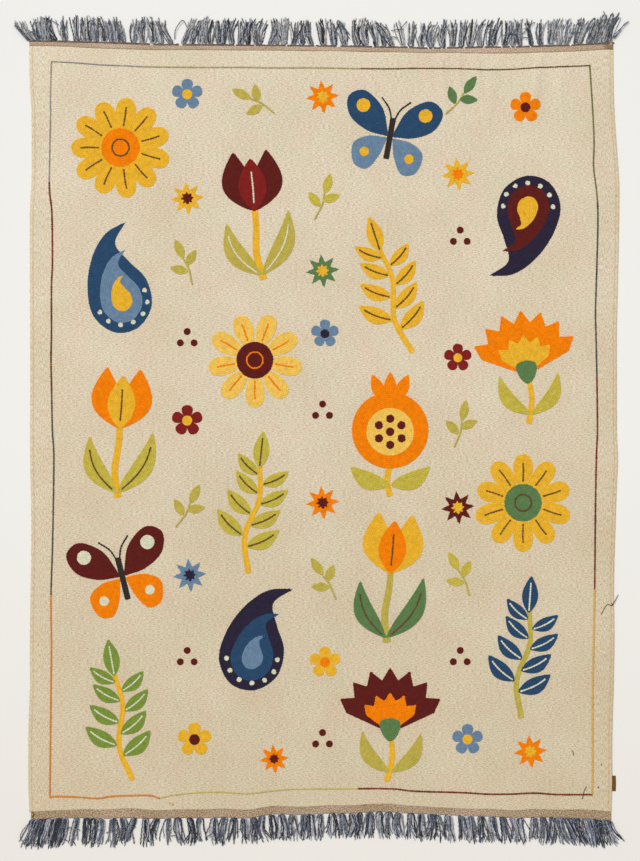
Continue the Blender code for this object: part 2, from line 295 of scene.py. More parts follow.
# Chain stitches: rows of them in the fills, single lines, and the layers that they lie on
ROW_PITCH = 4.0
FIRST_ROW = 1.9
LAST_ROW = 0.3
LINK_PITCH = 5.6
LINK_LENGTH = 6.8
LINK_HALF_WIDTH = 2.15
LINK_HEIGHT = 1.1
LINE_PITCH = 5.0
LINE_LENGTH = 5.8
LINE_HALF_WIDTH = 1.9
LINE_HEIGHT = 1.3
LINE_RISE = 0.5
BORDER_HEIGHT = 1.4
BORDER_RISE = 0.15
BORDER_INSET = 1.6
STRAY_WIDTH = 1.3
STRAY_RISE = 0.1
FIELD_STEP = 1.5
PAD_RISE = 0.3
LAYER_RISE = 0.15
PAD_POINTS = 6.5
PAD_INSET = 0.01

# How unevenly the stitches turn, and how uneven their widths and heights are
TURN_SPREAD = 0.06
WIDTH_SPREAD = 0.07
HEIGHT_SPREAD = 0.12

# How much larger than drawn the large and the small motifs lie, and the points between two knots
MOTIF_SIZE = 1.42
SMALL_SIZE = 1.3
CURVE_STEPS = 7

# Lights: a wide soft sun for the relief and a weak panel that lifts the far end, each with its kind,
# energy, place in metres and size
WORLD_LIGHT = 0.5
LAMPS = (
    ("key", "SUN", 1.85, (-1.6, 2.2, 3.6), 0.6),
    ("panel", "AREA", 9.0, (-0.3, 1.6, 2.6), 1.5),
)
LAMP_COLOUR = (1.0, 0.99, 0.97)
WORLD_COLOUR = (1.0, 0.99, 0.975, 1.0)

# The floor, its painted light and shade from near to far, and the camera over it, in metres
FLOOR_REACH = 40.0
FLOOR_ROUGHNESS = 0.9
FLOOR_PAINTED_LIGHT = (
    (0.05, (0.822, 0.8, 0.758, 1.0)), (0.5, (0.85, 0.842, 0.818, 1.0)), (0.95, (0.82, 0.817, 0.797, 1.0)),
)
CAMERA_PLACE = (-0.0052, -0.0005, 4.953)
LENS = 100.0
SENSOR = 36.0
FARTHEST = 100.0

rng = np.random.default_rng(SEED)


def along(rows, column, at):
    """Read a column of a table at a place between its rows, on a smooth curve through them."""
    places = [row[0] for row in rows]
    values = [getattr(row, column) for row in rows]
    last = len(rows) - 1
    at = min(max(at, places[0]), places[last])
    i = min(bisect.bisect_right(places, at), last) - 1
    span = places[i + 1] - places[i]
    before, after = max(i - 1, 0), min(i + 2, last)
    slope_in = (values[i + 1] - values[before]) / (places[i + 1] - places[before]) * span
    slope_out = (values[after] - values[i]) / (places[after] - places[i]) * span
    t = (at - places[i]) / span
    rise = values[i + 1] - values[i]
    cubic = slope_in + slope_out - 2 * rise
    square = 3 * rise - 2 * slope_in - slope_out
    return values[i] + t * (slope_in + t * (square + t * cubic))


def side_edge(y, side):
    """X of the left (-1) or right (1) selvedge at y."""
    column = "right" if side > 0 else "left"
    return side * (CLOTH_WIDTH / 2 + along(SIDE_EDGES, column, y))


def end_edge(x, end):
    """Y of a tape's outer edge at x."""
    return end * (CLOTH_LENGTH / 2 + along(END_EDGES[end], "bulge", x))


def tape_inner_edge(x, end):
    """Y of a tape's inner edge at x, where the ground cloth begins."""
    return end_edge(x, end) - end * along(END_EDGES[end], "tape", x)


def photo_place(px, py):
    """Where a pixel of the photograph lies on the floor."""
    return ((px - PHOTO_MIDDLE[0]) * PIXEL, (PHOTO_MIDDLE[1] - py) * PIXEL)


def ripple_height(x, y):
    """How high the soft ripples near the far right corner are at places on the rug."""
    height = 0.0
    for ripple in RIPPLES:
        (x0, y0), (x1, y1) = photo_place(*ripple.start), photo_place(*ripple.end)
        t = (y - y0) / (y1 - y0)
        away = (x - x0 - (x1 - x0) * t) / ripple.width
        fade = np.clip((t + RIPPLE_LEAD) / RIPPLE_LEAD, 0, 1) * np.clip((RIPPLE_END - t) / RIPPLE_TAIL, 0, 1)
        height = height + ripple.height * fade * np.exp(-(away**2))
    return height


def cloth_rise(x, y):
    """How far the rug lifts off the floor at places on it."""
    x, y = np.asarray(x, float), np.asarray(y, float)
    swell = 0.5 + 0.5 * np.sin(x / 170 + 1.3) * np.sin(y / 210 + 0.4)
    room_x, room_y = LIFT_HALF[0] - abs(x), LIFT_HALF[1] - abs(y)
    within = np.clip(room_y / SWELL_FADE[1], 0, 1) * np.clip(room_x / SWELL_FADE[0], 0, 1)
    ripples = ripple_height(x, y) * np.clip(room_y / RIPPLE_FADE, 0, 1)
    return FLOOR_GAP + within * SWELL * swell + ripples


def linear(colour):
    """An 8-bit display colour as scene-linear red, green and blue."""
    parts = [part / 255 for part in colour]
    return [part / 12.92 if part <= 0.04045 else ((part + 0.055) / 1.055) ** 2.4 for part in parts]


def shade(colour, factor=1.0):
    """A linear colour with alpha, made lighter or darker."""
    return (*[min(part * factor, 1.0) for part in linear(colour)], 1.0)


def dyes(*stops):
    """Stops of a ramp, from pairs of a place and an 8-bit display colour."""
    return [(place, shade(colour)) for place, colour in stops]


def add_node(tree, kind, inputs, **settings):
    """A shader node whose inputs are numbers, colours or other nodes' outputs."""
    node = tree.nodes.new(kind)
    for key, value in settings.items():
        setattr(node, key, value)
    for key, value in inputs.items():
        if isinstance(value, bpy.types.NodeSocket):
            tree.links.new(value, node.inputs[key])
        else:
            node.inputs[key].default_value = value
    return node


def maths(tree, operation, first, second=0.0):
    """The output of one arithmetic step."""
    return add_node(tree, "ShaderNodeMath", {0: first, 1: second}, operation=operation).outputs[0]


def noise(tree, vector, scale, detail=2.0, roughness=0.6):
    """A noise value from 0 to 1."""
    inputs = {"Vector": vector, "Scale": scale, "Detail": detail, "Roughness": roughness}
    return add_node(tree, "ShaderNodeTexNoise", inputs).outputs["Fac"]


def ramp(tree, value, stops):
    """A colour read from a value, the stops being pairs of place and colour."""
    node = add_node(tree, "ShaderNodeValToRGB", {"Fac": value})
    elements = node.color_ramp.elements
    while len(elements) < len(stops):
        elements.new(1.0)
    for element, (place, colour) in zip(elements, stops):
        element.position = place
        element.color = colour
    return node.outputs["Color"]


def mix(tree, factor, first, second, blend="MIX"):
    """Two colours mixed, on the sockets that the node keeps for colours."""
    inputs = {"Factor": factor, 6: first, 7: second}
    return add_node(tree, "ShaderNodeMix", inputs, data_type="RGBA", blend_type=blend).outputs[2]


def tinted(tree, colour, value, stops):
    """A colour multiplied by another one that is read from a value."""
    return mix(tree, 1.0, colour, ramp(tree, value, stops), "MULTIPLY")


def blended(tree, first, second, share):
    """Two values added, the first one's share given."""
    second = maths(tree, "MULTIPLY", second, 1 - share)
    return maths(tree, "ADD", maths(tree, "MULTIPLY", first, share), second)


def streaks(tree, vector, factors, detail=2.0, roughness=0.8):
    """A noise value stretched along the axes of a flat cloth."""
    inputs = {"Vector": vector, "Scale": (*factors, 1.0)}
    place = add_node(tree, "ShaderNodeMapping", inputs).outputs["Vector"]
    return noise(tree, place, 1.0, detail, roughness)


def texture_place(tree, kind):
    """The place that a texture is read at, with its X and its Y."""
    place = add_node(tree, "ShaderNodeTexCoord", {}).outputs[kind]
    parts = add_node(tree, "ShaderNodeSeparateXYZ", {"Vector": place})
    return place, parts.outputs["X"], parts.outputs["Y"]


def new_material(name, sheen, roughness=WOOL_ROUGHNESS):
    """A material's tree with its shader, both ready for nodes."""
    material = bpy.data.materials.new(name)
    material.use_nodes = True
    tree = material.node_tree
    shader = tree.nodes["Principled BSDF"]
    shader.inputs["Roughness"].default_value = roughness
    shader.inputs["Specular IOR Level"].default_value = SPECULAR
    shader.inputs["Sheen Weight"].default_value = sheen
    shader.inputs["Sheen Roughness"].default_value = SHEEN_ROUGHNESS
    return material, tree, shader


def set_bump(tree, shader, height, strength, distance):
    """Raise the surface by a height."""
    inputs = {"Strength": strength, "Distance": distance, "Height": height}
    bump = add_node(tree, "ShaderNodeBump", inputs)
    tree.links.new(bump.outputs["Normal"], shader.inputs["Normal"])


def dyed(tree, value, colour, spread):
    """A yarn colour, lighter and darker with a value."""
    stops = [(0.3, shade(colour, 1 - spread)), (0.5, shade(colour)), (0.72, shade(colour, 1 + spread))]
    return ramp(tree, value, stops)


def yarn_material(name, colour, spread, speck=FIBRE_SPOTS, turn=None):
    """Wool yarn, uneven in dye from stitch to stitch and along its fibres."""
    material, tree, shader = new_material(name, YARN_SHEEN)
    place, _, _ = texture_place(tree, "Object")
    stitch = noise(tree, place, STITCH_SPOTS, 1.0)
    value = blended(tree, stitch, noise(tree, place, speck, 2.0, 0.7), 0.55)
    wool = dyed(tree, value, colour, spread)
    if turn:
        share = maths(tree, "LESS_THAN", noise(tree, place, TURN_SPOTS, 1.0), 0.5)
        wool = mix(tree, share, wool, dyed(tree, value, turn, spread))
    tree.links.new(wool, shader.inputs["Base Color"])
    set_bump(tree, shader, noise(tree, place, FUZZ, 2.0), 0.5, 0.0006)
    return material


def ground_material():
    """Oatmeal wool in fine rows, along the ends inside the border and along the selvedges outside it."""
    material, tree, shader = new_material("ground_wool", CLOTH_SHEEN)
    place, across, up = texture_place(tree, "UV")
    middle = FLAT_GROUND[0] / 2
    from_middle = maths(tree, "ABSOLUTE", maths(tree, "SUBTRACT", across, middle))
    from_side = maths(tree, "SUBTRACT", middle, from_middle)
    margin = maths(tree, "LESS_THAN", from_side, MARGIN_WIDTH)
    grain = mix(tree, margin, streaks(tree, place, FLAT_ROWS), streaks(tree, place, TALL_ROWS))
    value = blended(tree, grain, noise(tree, place, SPECKS, 1.0, 0.8), 0.5)
    wool = ramp(tree, value, dyes(*GROUND_DYES))
    wool = tinted(tree, wool, noise(tree, place, BLOTCHES, 3.0), dyes(*BLOTCH_DYES))
    wool = tinted(tree, wool, noise(tree, place, HUES, 2.0), HUE_STOPS)
    # Painted shade towards the near end and painted light towards the left, multiplied over the wool
    wool = tinted(tree, wool, maths(tree, "DIVIDE", up, FLAT_GROUND[1]), PAINTED_SHADE_ALONG)
    wool = tinted(tree, wool, maths(tree, "DIVIDE", across, FLAT_GROUND[0]), PAINTED_LIGHT_ACROSS)
    # Painted shade of a groove inside each selvedge, darkest some 6 to 8 mm in from the edge
    wool = tinted(tree, wool, maths(tree, "MULTIPLY", from_side, GROOVE_SHADE_SCALE), dyes(*GROOVE_SHADE_DYES))
    tree.links.new(wool, shader.inputs["Base Color"])
    set_bump(tree, shader, value, 0.4, 0.0009)
    return material


def tape_material(end):
    """A woven tape of mixed colours, with another one where it is sewn on and at its right end."""
    look = TAPE_LOOKS[end]
    material, tree, shader = new_material(f"tape_{NAMES[end]}", CLOTH_SHEEN)
    place, across, out = texture_place(tree, "UV")
    weave = streaks(tree, place, TAPE_WEAVE, 2.0, 0.85)
    wool = ramp(tree, weave, dyes(*zip((0.38, 0.5, 0.62), look.weave)))
    wool = tinted(tree, wool, streaks(tree, place, TAPE_PATCHES), dyes(*PATCH_DYES))
    wool = tinted(tree, wool, streaks(tree, place, TAPE_STRETCHES, 1.0, 0.6), dyes(*STRETCH_DYES))
    seam = dyes((0.06, look.seam), (0.24, WHITE))
    wool = tinted(tree, wool, maths(tree, "MULTIPLY", out, SEAM_SCALE), seam)
    last = dyes((0.955, WHITE), (0.959, look.last))
    wool = tinted(tree, wool, maths(tree, "MULTIPLY", across, TAPE_SCALE), last)
    tree.links.new(wool, shader.inputs["Base Color"])
    set_bump(tree, shader, weave, 0.7, 0.0015)
    return material


def add_piece(name, points, faces, material, slot):
    """A smooth mesh of four-sided faces riding on the rug."""
    mesh = bpy.data.meshes.new(name)
    faces = np.asarray(faces, np.int32)
    mesh.vertices.add(len(points))
    mesh.vertices.foreach_set("co", (np.asarray(points, np.float64) * MM).astype(np.float32).ravel())
    mesh.loops.add(4 * len(faces))
    mesh.loops.foreach_set("vertex_index", faces.ravel())
    mesh.polygons.add(len(faces))
    mesh.polygons.foreach_set("loop_start", np.arange(0, 4 * len(faces), 4, dtype=np.int32))
    mesh.update(calc_edges=True)
    return dress(name, mesh, material, slot)


def dress(name, mesh, material, slot):
    """A mesh with its material, smooth and riding on the rug."""
    mesh.shade_smooth()
    mesh.materials.append(material)
    piece = bpy.data.objects.new(name, mesh)
    bpy.context.scene.collection.objects.link(piece)
    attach(piece, "root")
    return piece


def grid_faces(rows, columns, first=0):
    """Faces of a grid of points stored row by row."""
    corner = first + np.arange(rows * columns).reshape(rows, columns)
    parts = (corner[:-1, :-1], corner[:-1, 1:], corner[1:, 1:], corner[1:, :-1])
    return np.stack([part.ravel() for part in parts], 1)


def rim_faces(top, bottom):
    """Faces between two closed rings of point numbers."""
    return np.stack([top, bottom, np.roll(bottom, -1), np.roll(top, -1)], 1)


def stations(length, pitch):
    """Distances over a length, closer at both of its edges."""
    middle = np.linspace(EDGE_REACH, length - EDGE_REACH, int((length - 2 * EDGE_REACH) / pitch))
    return np.array([*EDGE_STATIONS, *middle, *[length - x for x in EDGE_STATIONS[::-1]]])


def rounded(distance, radius):
    """How much of its height an edge has reached at a distance from its rim."""
    t = np.clip(distance / radius, 0, 1)
    return np.sqrt(1 - (1 - t) ** 2)


def cloth_layers(x, y, rise, thickness, radius, across, down):
    """Points and faces of a closed cloth over a grid of places, with rounded rims."""
    rows, columns = x.shape
    near = np.minimum(np.minimum(across, across[::-1])[None, :], np.minimum(down, down[::-1])[:, None])
    top = rise + thickness * (RIM_TOP + (1 - RIM_TOP) * rounded(near, radius))
    bottom = rise + RIM_BOTTOM * thickness * (1 - rounded(near, radius))
    points = np.concatenate([np.stack([x, y, z], -1).reshape(-1, 3) for z in (top, bottom)])
    number = np.arange(rows * columns).reshape(rows, columns)
    ring = np.concatenate([number[0, :-1], number[:-1, -1], number[-1, :0:-1], number[:0:-1, 0]])
    faces = np.concatenate(
        [
            grid_faces(rows, columns),
            grid_faces(rows, columns, rows * columns)[:, ::-1],
            rim_faces(ring, ring + rows * columns),
        ]
    )
    return points, faces


def add_ground():
    """The ground cloth, uneven as the photograph shows it, with a weave place for each point."""
    across = stations(CLOTH_WIDTH, GROUND_PITCH[0])
    down = stations(FLAT_GROUND[1] / MM, GROUND_PITCH[1])
    s = across / CLOTH_WIDTH
    t = down / down[-1]
    rough_x = CLOTH_WIDTH * (s - 0.5)
    near = np.array([tape_inner_edge(x, NEAR) for x in rough_x])
    far = np.array([tape_inner_edge(x, FAR) for x in rough_x])
    y = near[None, :] + (far - near)[None, :] * t[:, None]
    left = np.array([side_edge(at, -1) for at in y[:, 0]])
    right = np.array([side_edge(at, 1) for at in y[:, -1]])
    x = left[:, None] + (right - left)[:, None] * s[None, :]
    points, faces = cloth_layers(x, y, cloth_rise(x, y), GROUND_THICKNESS, GROUND_RIM, across, down)
    cloth = add_piece("ground_cloth", points, faces, ground_material(), "ground_wool")
    set_weave(cloth, faces, across, down)
    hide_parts("kilim_ground")
    return cloth


def set_weave(cloth, faces, across, down):
    """Lay a cloth's material by its flat width and length."""
    flat = np.stack(np.meshgrid(across * MM, down * MM), -1).reshape(-1, 2)
    flat = np.concatenate([flat, flat]).astype(np.float32)
    uv = cloth.data.uv_layers.new(name="weave")
    uv.data.foreach_set("uv", flat[faces.ravel()].ravel())


def add_tape(end):
    """The woven tape across one end, its outer edge a little frayed."""
    across, down = stations(CLOTH_WIDTH, TAPE_PITCH), np.array(TAPE_STATIONS)
    s, t = across / CLOTH_WIDTH, down / down[-1]
    y_end = end * (CLOTH_LENGTH / 2 - TAPE_MIDDLE)
    left = side_edge(y_end, -1) + TURNED_BACK[end]
    right = side_edge(y_end, 1)
    x = np.repeat((left + (right - left) * s)[None, :], len(t), 0)
    inner = np.array([tape_inner_edge(at, end) - end * TAPE_OVERLAP for at in x[0]])
    outer = np.array([end_edge(at, end) for at in x[0]]) + end * rng.uniform(*FRAY, len(s))
    y = inner[None, :] + (outer - inner)[None, :] * t[:, None]
    rise = FLOOR_GAP + rng.uniform(0, TAPE_LIFT, x.shape)
    points, faces = cloth_layers(x, y, rise, TAPE_THICKNESS, TAPE_RIM, across, down)
    if end == NEAR:
        faces = faces[:, ::-1]
    tape = add_piece(f"tape_{NAMES[end]}", points, faces, tape_material(end), "end_tape")
    set_weave(tape, faces, across, down)
    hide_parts(f"end_band_{NAMES[end]}")
    return tape


def tubes(paths, radius, ply=0.22, twist=0.42):
    """Points and faces of two-ply yarns along paths with equal numbers of points."""
    sides = YARN_SIDES
    count, steps, _ = paths.shape
    ahead = np.gradient(paths, axis=1)
    lengths = np.linalg.norm(ahead, axis=2)
    ahead /= lengths[..., None]
    side = np.cross(ahead, (0.0, 0.0, 1.0))
    side /= np.maximum(np.linalg.norm(side, axis=2), 1e-6)[..., None]
    up = np.cross(side, ahead)
    run = np.cumsum(lengths, axis=1)
    around = np.linspace(0, 2 * np.pi, sides, endpoint=False)
    phase = rng.uniform(0, 2 * np.pi, (count, 1))
    swell = 1 + ply * np.cos(2 * (around[None, None, :] - (twist * run + phase)[..., None]))
    ends = np.ones(steps)
    ends[0] = ends[-1] = TIP_SHARE
    thick = radius * swell * ends[None, :, None]
    turn = side[..., None, :] * np.cos(around)[:, None] + up[..., None, :] * np.sin(around)[:, None]
    points = paths[:, :, None, :] + thick[..., None] * turn
    number = np.arange(count * steps * sides).reshape(count, steps, sides)
    onward = np.roll(number, -1, axis=2)
    parts = (number[:, :-1], onward[:, :-1], onward[:, 1:], number[:, 1:])
    return points.reshape(-1, 3), np.stack([part.ravel() for part in parts], 1)


def joined(parts):
    """Several sets of points and faces as one."""
    points, faces, first = [], [], 0
    for some_points, some_faces in parts:
        points.append(some_points)
        faces.append(some_faces + first)
        first += len(some_points)
    return np.concatenate(points), np.concatenate(faces)


# Each bunch of the fringes in the photograph's pixels: its root, its tip, and its width at the tip
Bunch = namedtuple("Bunch", "root tip width")
BUNCHES = {
    FAR: table(
        Bunch,
        (31, 18, 8), (38.5, 35, 6), (42, 39, 7), (46, 42, 7), (51, 46, 7), (55.5, 49, 6), (65, 62, 7),
        (74.5, 71.5, 2), (77.5, 77, 7), (84.5, 85, 8), (90, 91, 5), (96, 95, 8), (104, 100, 8),
        (112, 108, 9), (118, 113, 7), (124, 118, 6), (133.5, 135, 7), (143, 143, 10), (153, 150, 8),
        (161.5, 155, 7), (171.5, 162, 8), (183, 193, 7), (191.5, 200, 8), (200.5, 203, 8), (206, 207, 3),
        (210.5, 213, 6), (219.5, 219.5, 8), (223.5, 226, 5), (232, 233, 10), (240.5, 243, 9), (248, 249, 6),
        (256, 257, 6), (260, 266, 8), (270.5, 275, 8), (277, 278, 5), (284, 286, 10), (293, 298, 6),
        (302, 303, 8), (312, 307, 6), (323.5, 322, 10), (334.5, 332, 10), (345, 339, 9), (357.5, 356, 8),
        (366, 364, 10), (376, 371, 7), (384, 376, 7), (392, 381, 8), (403, 396, 5), (411, 412, 9),
        (421, 424, 8), (431, 433, 8), (443, 444, 8), (452.5, 454, 9), (461, 464, 9), (470, 474, 9),
        (481, 484.5, 9), (488.5, 493, 4), (494, 499, 7), (504, 506, 9), (513, 515, 9), (520, 519, 7),
        (531.5, 529, 6), (541, 541, 9), (550.5, 554, 11), (559, 560, 8), (566, 570, 9), (575.5, 581, 6),
        (579.5, 590, 7), (588, 598, 8), (596.5, 605, 8), (604, 610, 9), (609.5, 616.5, 9),
    ),
    NEAR: table(
        Bunch,
        (33, 24, 8), (38, 30, 8), (43, 37, 8), (48.5, 42, 8), (54, 48, 8), (60, 53, 8), (65.5, 58, 7),
        (77, 73, 7), (86.5, 85, 8), (94, 91, 8), (101.5, 98, 7), (113, 114, 9), (123, 123, 8),
        (134.5, 126, 7), (146, 145, 9), (157, 153, 8), (168, 168, 7), (178, 181, 9), (189, 190, 10),
        (200.5, 203, 9), (214, 215, 8), (225, 221, 8), (233.5, 231, 9), (244, 246.5, 8), (253, 254, 10),
        (262.5, 266, 9), (271.5, 274, 9), (281, 284, 11), (293, 297, 11), (303.5, 304, 8), (311, 312, 10),
        (320.5, 319, 7), (332, 330, 10), (341, 343, 11), (352, 352, 10), (360, 359, 6), (370, 368, 11),
        (379.5, 382, 8), (389, 389, 10), (399, 399.5, 10), (411, 413, 11), (421, 423, 8), (430, 430, 10),
        (437, 440, 8), (448, 451, 11), (461, 464, 10), (470, 474, 10), (481, 485, 10), (492, 496, 11),
        (502.5, 507, 10), (512, 515, 9), (520.5, 524, 10), (534.5, 534, 10), (542, 543, 9), (551.5, 552, 7),
        (556, 565, 10), (561.5, 571, 8), (566.5, 578, 10), (572, 582, 8), (577, 586, 9), (584.5, 591, 9),
        (589, 595, 8), (594, 599, 9), (601, 606, 9), (604.5, 613, 9), (608, 620, 9),
    ),
}

# Fringe yarns, the colours that they have and turn to from dark to light, the dark tone partly painted shade
# in the gaps between yarns and the light tone partly painted highlight, and how a bunch spreads
YARN_RADIUS = 1.0
YARN_STEPS = 50
YARN_SIDES = 5
TIP_SHARE = 0.05
TONES_AND_PAINTED_LIGHT = {
    FAR: ((51, 56, 67), (102, 108, 118), (167, 169, 176)),
    NEAR: ((52, 58, 72), (103, 111, 124), (166, 170, 181)),
}
TURNED_TONES_AND_PAINTED_LIGHT = {
    FAR: ((57, 59, 63), (111, 112, 116), (175, 174, 174)),
    NEAR: ((58, 60, 71), (113, 114, 125), (175, 176, 184)),
}
TONE_SHARES = {FAR: (0.22, 0.4, 0.38), NEAR: (0.4, 0.38, 0.22)}
ROOT_REACH = 6.0
ROOT_HALF_WIDTH = {FAR: 6.4, NEAR: 7.6}
WIDEST_ROOT = {FAR: 0.8, NEAR: 0.9}
YARN_PAIRS_PER_PIXEL = 0.61
BUNCH_HEIGHT = 5.5
BUNCH_BOW = 2.2
ROOT_HEIGHT = 2.6
LOOP_DEPTH = 3.0
PAIR_LIMITS = (2, 7)
REACHES = (0.8, 1.07)
LONGEST = 1.03
WAVES = (0.5, 3.0)
CRIMPS = (0.2, 0.55)
TIP_STRAY = 2.8
MIDDLE_STRAY = 2.0
CROSSING_SHARE = 0.12
CROSSING_REACH = 17.0
LENGTH_SPREAD = 1.0
FRINGE_SPREAD = 0.62
FRINGE_SPECK = 260.0

# Dark stitches along the far heading: how far apart, how far out, how many of them show, and their size
HEADING_PITCH = 4.6
HEADING_OUT = 1.8
HEADING_SHARE = 0.85
HEADING_LINK = 6.4
HEADING_HALF = 2.1
HEADING_HEIGHT = 2.0
HEADING_RISE = 1.0
HEADING_SPREAD = 0.4


def bunch_paths(centre, root_y, end, lean, length, tip_half):
    """Yarns of one bunch, each doubled over at the root so that both of its ends hang out."""
    paths = []
    half = YARN_STEPS // 2 + 1
    t = np.linspace(0, 1, half) ** 1.15
    pairs = int(np.clip(round(2 * tip_half / PIXEL * YARN_PAIRS_PER_PIXEL), *PAIR_LIMITS))
    root_half = min(ROOT_HALF_WIDTH[end], WIDEST_ROOT[end] * tip_half)
    bow = rng.normal(0, BUNCH_BOW) * np.sin(np.pi * t)
    for pair in range(pairs):
        rank = (pair + 0.7) / pairs
        ends = []
        depth = LOOP_DEPTH * (1 - rank)
        layer = rng.uniform(0, 1)
        for side in (-1, 1):
            reach = length * min(rng.uniform(*REACHES), LONGEST) * (1 - 0.1 * rank**2)
            out = t * reach
            spread = root_half * rounded(out, ROOT_REACH) + (tip_half - root_half) * t**1.3
            wave = rng.uniform(*WAVES) * np.sin(t * rng.uniform(3, 9) + rng.uniform(0, 6)) * t
            crimp = rng.uniform(*CRIMPS) * np.sin(out * rng.uniform(0.6, 0.8) + rng.uniform(0, 6))
            stray = rng.normal(0, TIP_STRAY) * t**1.5 + rng.normal(0, MIDDLE_STRAY) * np.sin(np.pi * t)
            if rng.uniform(0, 1) < CROSSING_SHARE:
                stray = stray + rng.uniform(-1, 1) * CROSSING_REACH * t
            x = centre + lean * t**1.15 + side * rank * spread + wave + crimp * np.clip(out / 5, 0, 1)
            x = x + bow + stray
            y = root_y + end * (depth * (1 - t) + out)
            body = np.sin(np.pi * np.clip(t, 0, 0.92) ** 0.7)
            z = YARN_RADIUS + (BUNCH_HEIGHT - 2 * YARN_RADIUS) * layer * body
            z = z + 0.5 * np.sin(t * rng.uniform(4, 10) + rng.uniform(0, 6)) * t
            z[0] = ROOT_HEIGHT
            ends.append(np.stack([x, y, np.maximum(z, 1.3 * YARN_RADIUS)], 1))
        paths.append(np.concatenate([ends[0][::-1], ends[1][1:]]))
    return paths


def fringe_tones_and_painted_light(end):
    """Wool in three tones, partly the yarns' own colours and partly painted shade and highlight, each
    turning to a second colour along its length.
    """
    made = []
    for i, (tone, turn) in enumerate(zip(TONES_AND_PAINTED_LIGHT[end], TURNED_TONES_AND_PAINTED_LIGHT[end])):
        made.append(yarn_material(f"fringe_{NAMES[end]}_{i}", tone, FRINGE_SPREAD, FRINGE_SPECK, turn))
    return made


def add_heading(dark):
    """Dark stitches along the far heading."""
    y_end = CLOTH_LENGTH / 2
    x = np.arange(side_edge(y_end, -1) + 3, side_edge(y_end, 1) - 1, HEADING_PITCH)
    x = x[rng.uniform(0, 1, len(x)) < HEADING_SHARE]
    y = np.array([end_edge(at, FAR) + HEADING_OUT for at in x])
    path = np.stack([x, y + rng.normal(0, HEADING_SPREAD, len(x))], 1)
    links = lay_links(path, HEADING_LINK, HEADING_HALF, HEADING_HEIGHT, HEADING_RISE)
    return add_piece("heading_top", *links, dark, "fringe_wool")


def add_fringe(end, tones):
    """Looped bunches of yarn in three tones."""
    paths = []
    for bunch in BUNCHES[end]:
        centre, _ = photo_place(bunch.root, 0)
        tip, _ = photo_place(bunch.tip, 0)
        length = along(FRINGE_LENGTHS[end], "length", centre) + rng.normal(0, LENGTH_SPREAD)
        root_y = end_edge(centre, end) + end * ROOT_START[end]
        reach = length + HEADING_WIDTH[end] - ROOT_START[end]
        paths += bunch_paths(centre, root_y, end, tip - centre, reach, bunch.width * PIXEL / 2)
    name = f"fringe_yarns_{NAMES[end]}"
    fringe = add_piece(name, *tubes(np.array(paths), YARN_RADIUS), tones[0], "fringe_wool")
    for tone in tones[1:]:
        fringe.data.materials.append(tone)
    # Each half of a yarn gets a tone: the dark ones are partly painted shade and the light ones partly
    # painted highlight
    halves = rng.choice(len(tones), 2 * len(paths), p=TONE_SHARES[end])
    quads = fringe.data.polygons
    quads.foreach_set("material_index", np.repeat(halves, len(quads) // len(halves)))
    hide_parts(f"fringe_{NAMES[end]}")
    return fringe


def link_template(lengthwise, widthwise):
    """One chain stitch: two legs with a groove between them, narrower where it enters the cloth."""
    along_link = np.linspace(-0.5, 0.5, lengthwise)
    across_link = np.linspace(-1, 1, widthwise)
    half = 0.62 + 0.38 * np.cos(np.pi * (along_link - 0.08))
    crest = 0.25 + 0.75 * np.cos(np.pi * along_link * 0.92)
    legs = np.abs(np.sin(np.pi * across_link)) * 0.62 + 0.5 * (1 - across_link**2)
    x = np.repeat(along_link, widthwise)
    y = np.outer(half, across_link).ravel()
    z = np.outer(crest, legs).ravel()
    return np.stack([x, y, z], 1), grid_faces(lengthwise, widthwise)[:, ::-1]


FINE_LINK = link_template(5, 7)
PLAIN_LINK = link_template(3, 5)


def lay_links(path, length, half_width, height, above, template=FINE_LINK, closed=False, ground=0.0):
    """Chain stitches centred on each point of a path, lying along it."""
    if closed:
        ahead = np.roll(path, -1, 0) - np.roll(path, 1, 0)
    else:
        ahead = np.gradient(path, axis=0)
    angle = np.arctan2(ahead[:, 1], ahead[:, 0]) + rng.normal(0, TURN_SPREAD, len(path))
    shape, quads = template
    size = 1 + rng.normal(0, WIDTH_SPREAD, len(path))
    x = shape[None, :, 0] * length
    y = shape[None, :, 1] * half_width * size[:, None]
    z = shape[None, :, 2] * height * (1 + rng.normal(0, HEIGHT_SPREAD, len(path)))[:, None]
    cos, sin = np.cos(angle)[:, None], np.sin(angle)[:, None]
    rise = cloth_rise(path[:, 0], path[:, 1])[:, None] if ground else 0.0
    points = np.stack(
        [path[:, :1] + x * cos - y * sin, path[:, 1:2] + x * sin + y * cos, above + ground + rise + z], -1
    )
    first = np.arange(len(path))[:, None, None] * len(shape)
    return points.reshape(-1, 3), (quads[None] + first).reshape(-1, 4)


def spaced(path, pitch=1.0, closed=False, inset=0.0, count=None):
    """Points evenly apart along a path, from an inset at each of its ends, by pitch or by count."""
    path = np.asarray(path, float)
    if closed:
        path = np.vstack([path, path[:1]])
    run = np.concatenate([[0], np.cumsum(np.linalg.norm(np.diff(path, axis=0), axis=1))])
    count = count or max(int(round(run[-1] / pitch)), 3 if closed else 2)
    at = np.linspace(inset, run[-1] - inset, count, endpoint=not closed)
    return np.stack([np.interp(at, run, path[:, 0]), np.interp(at, run, path[:, 1])], 1)


# A filled shape or a single line of stitches, in one colour
Fill = namedtuple("Fill", "outline colour")
Line = namedtuple("Line", "outline colour")


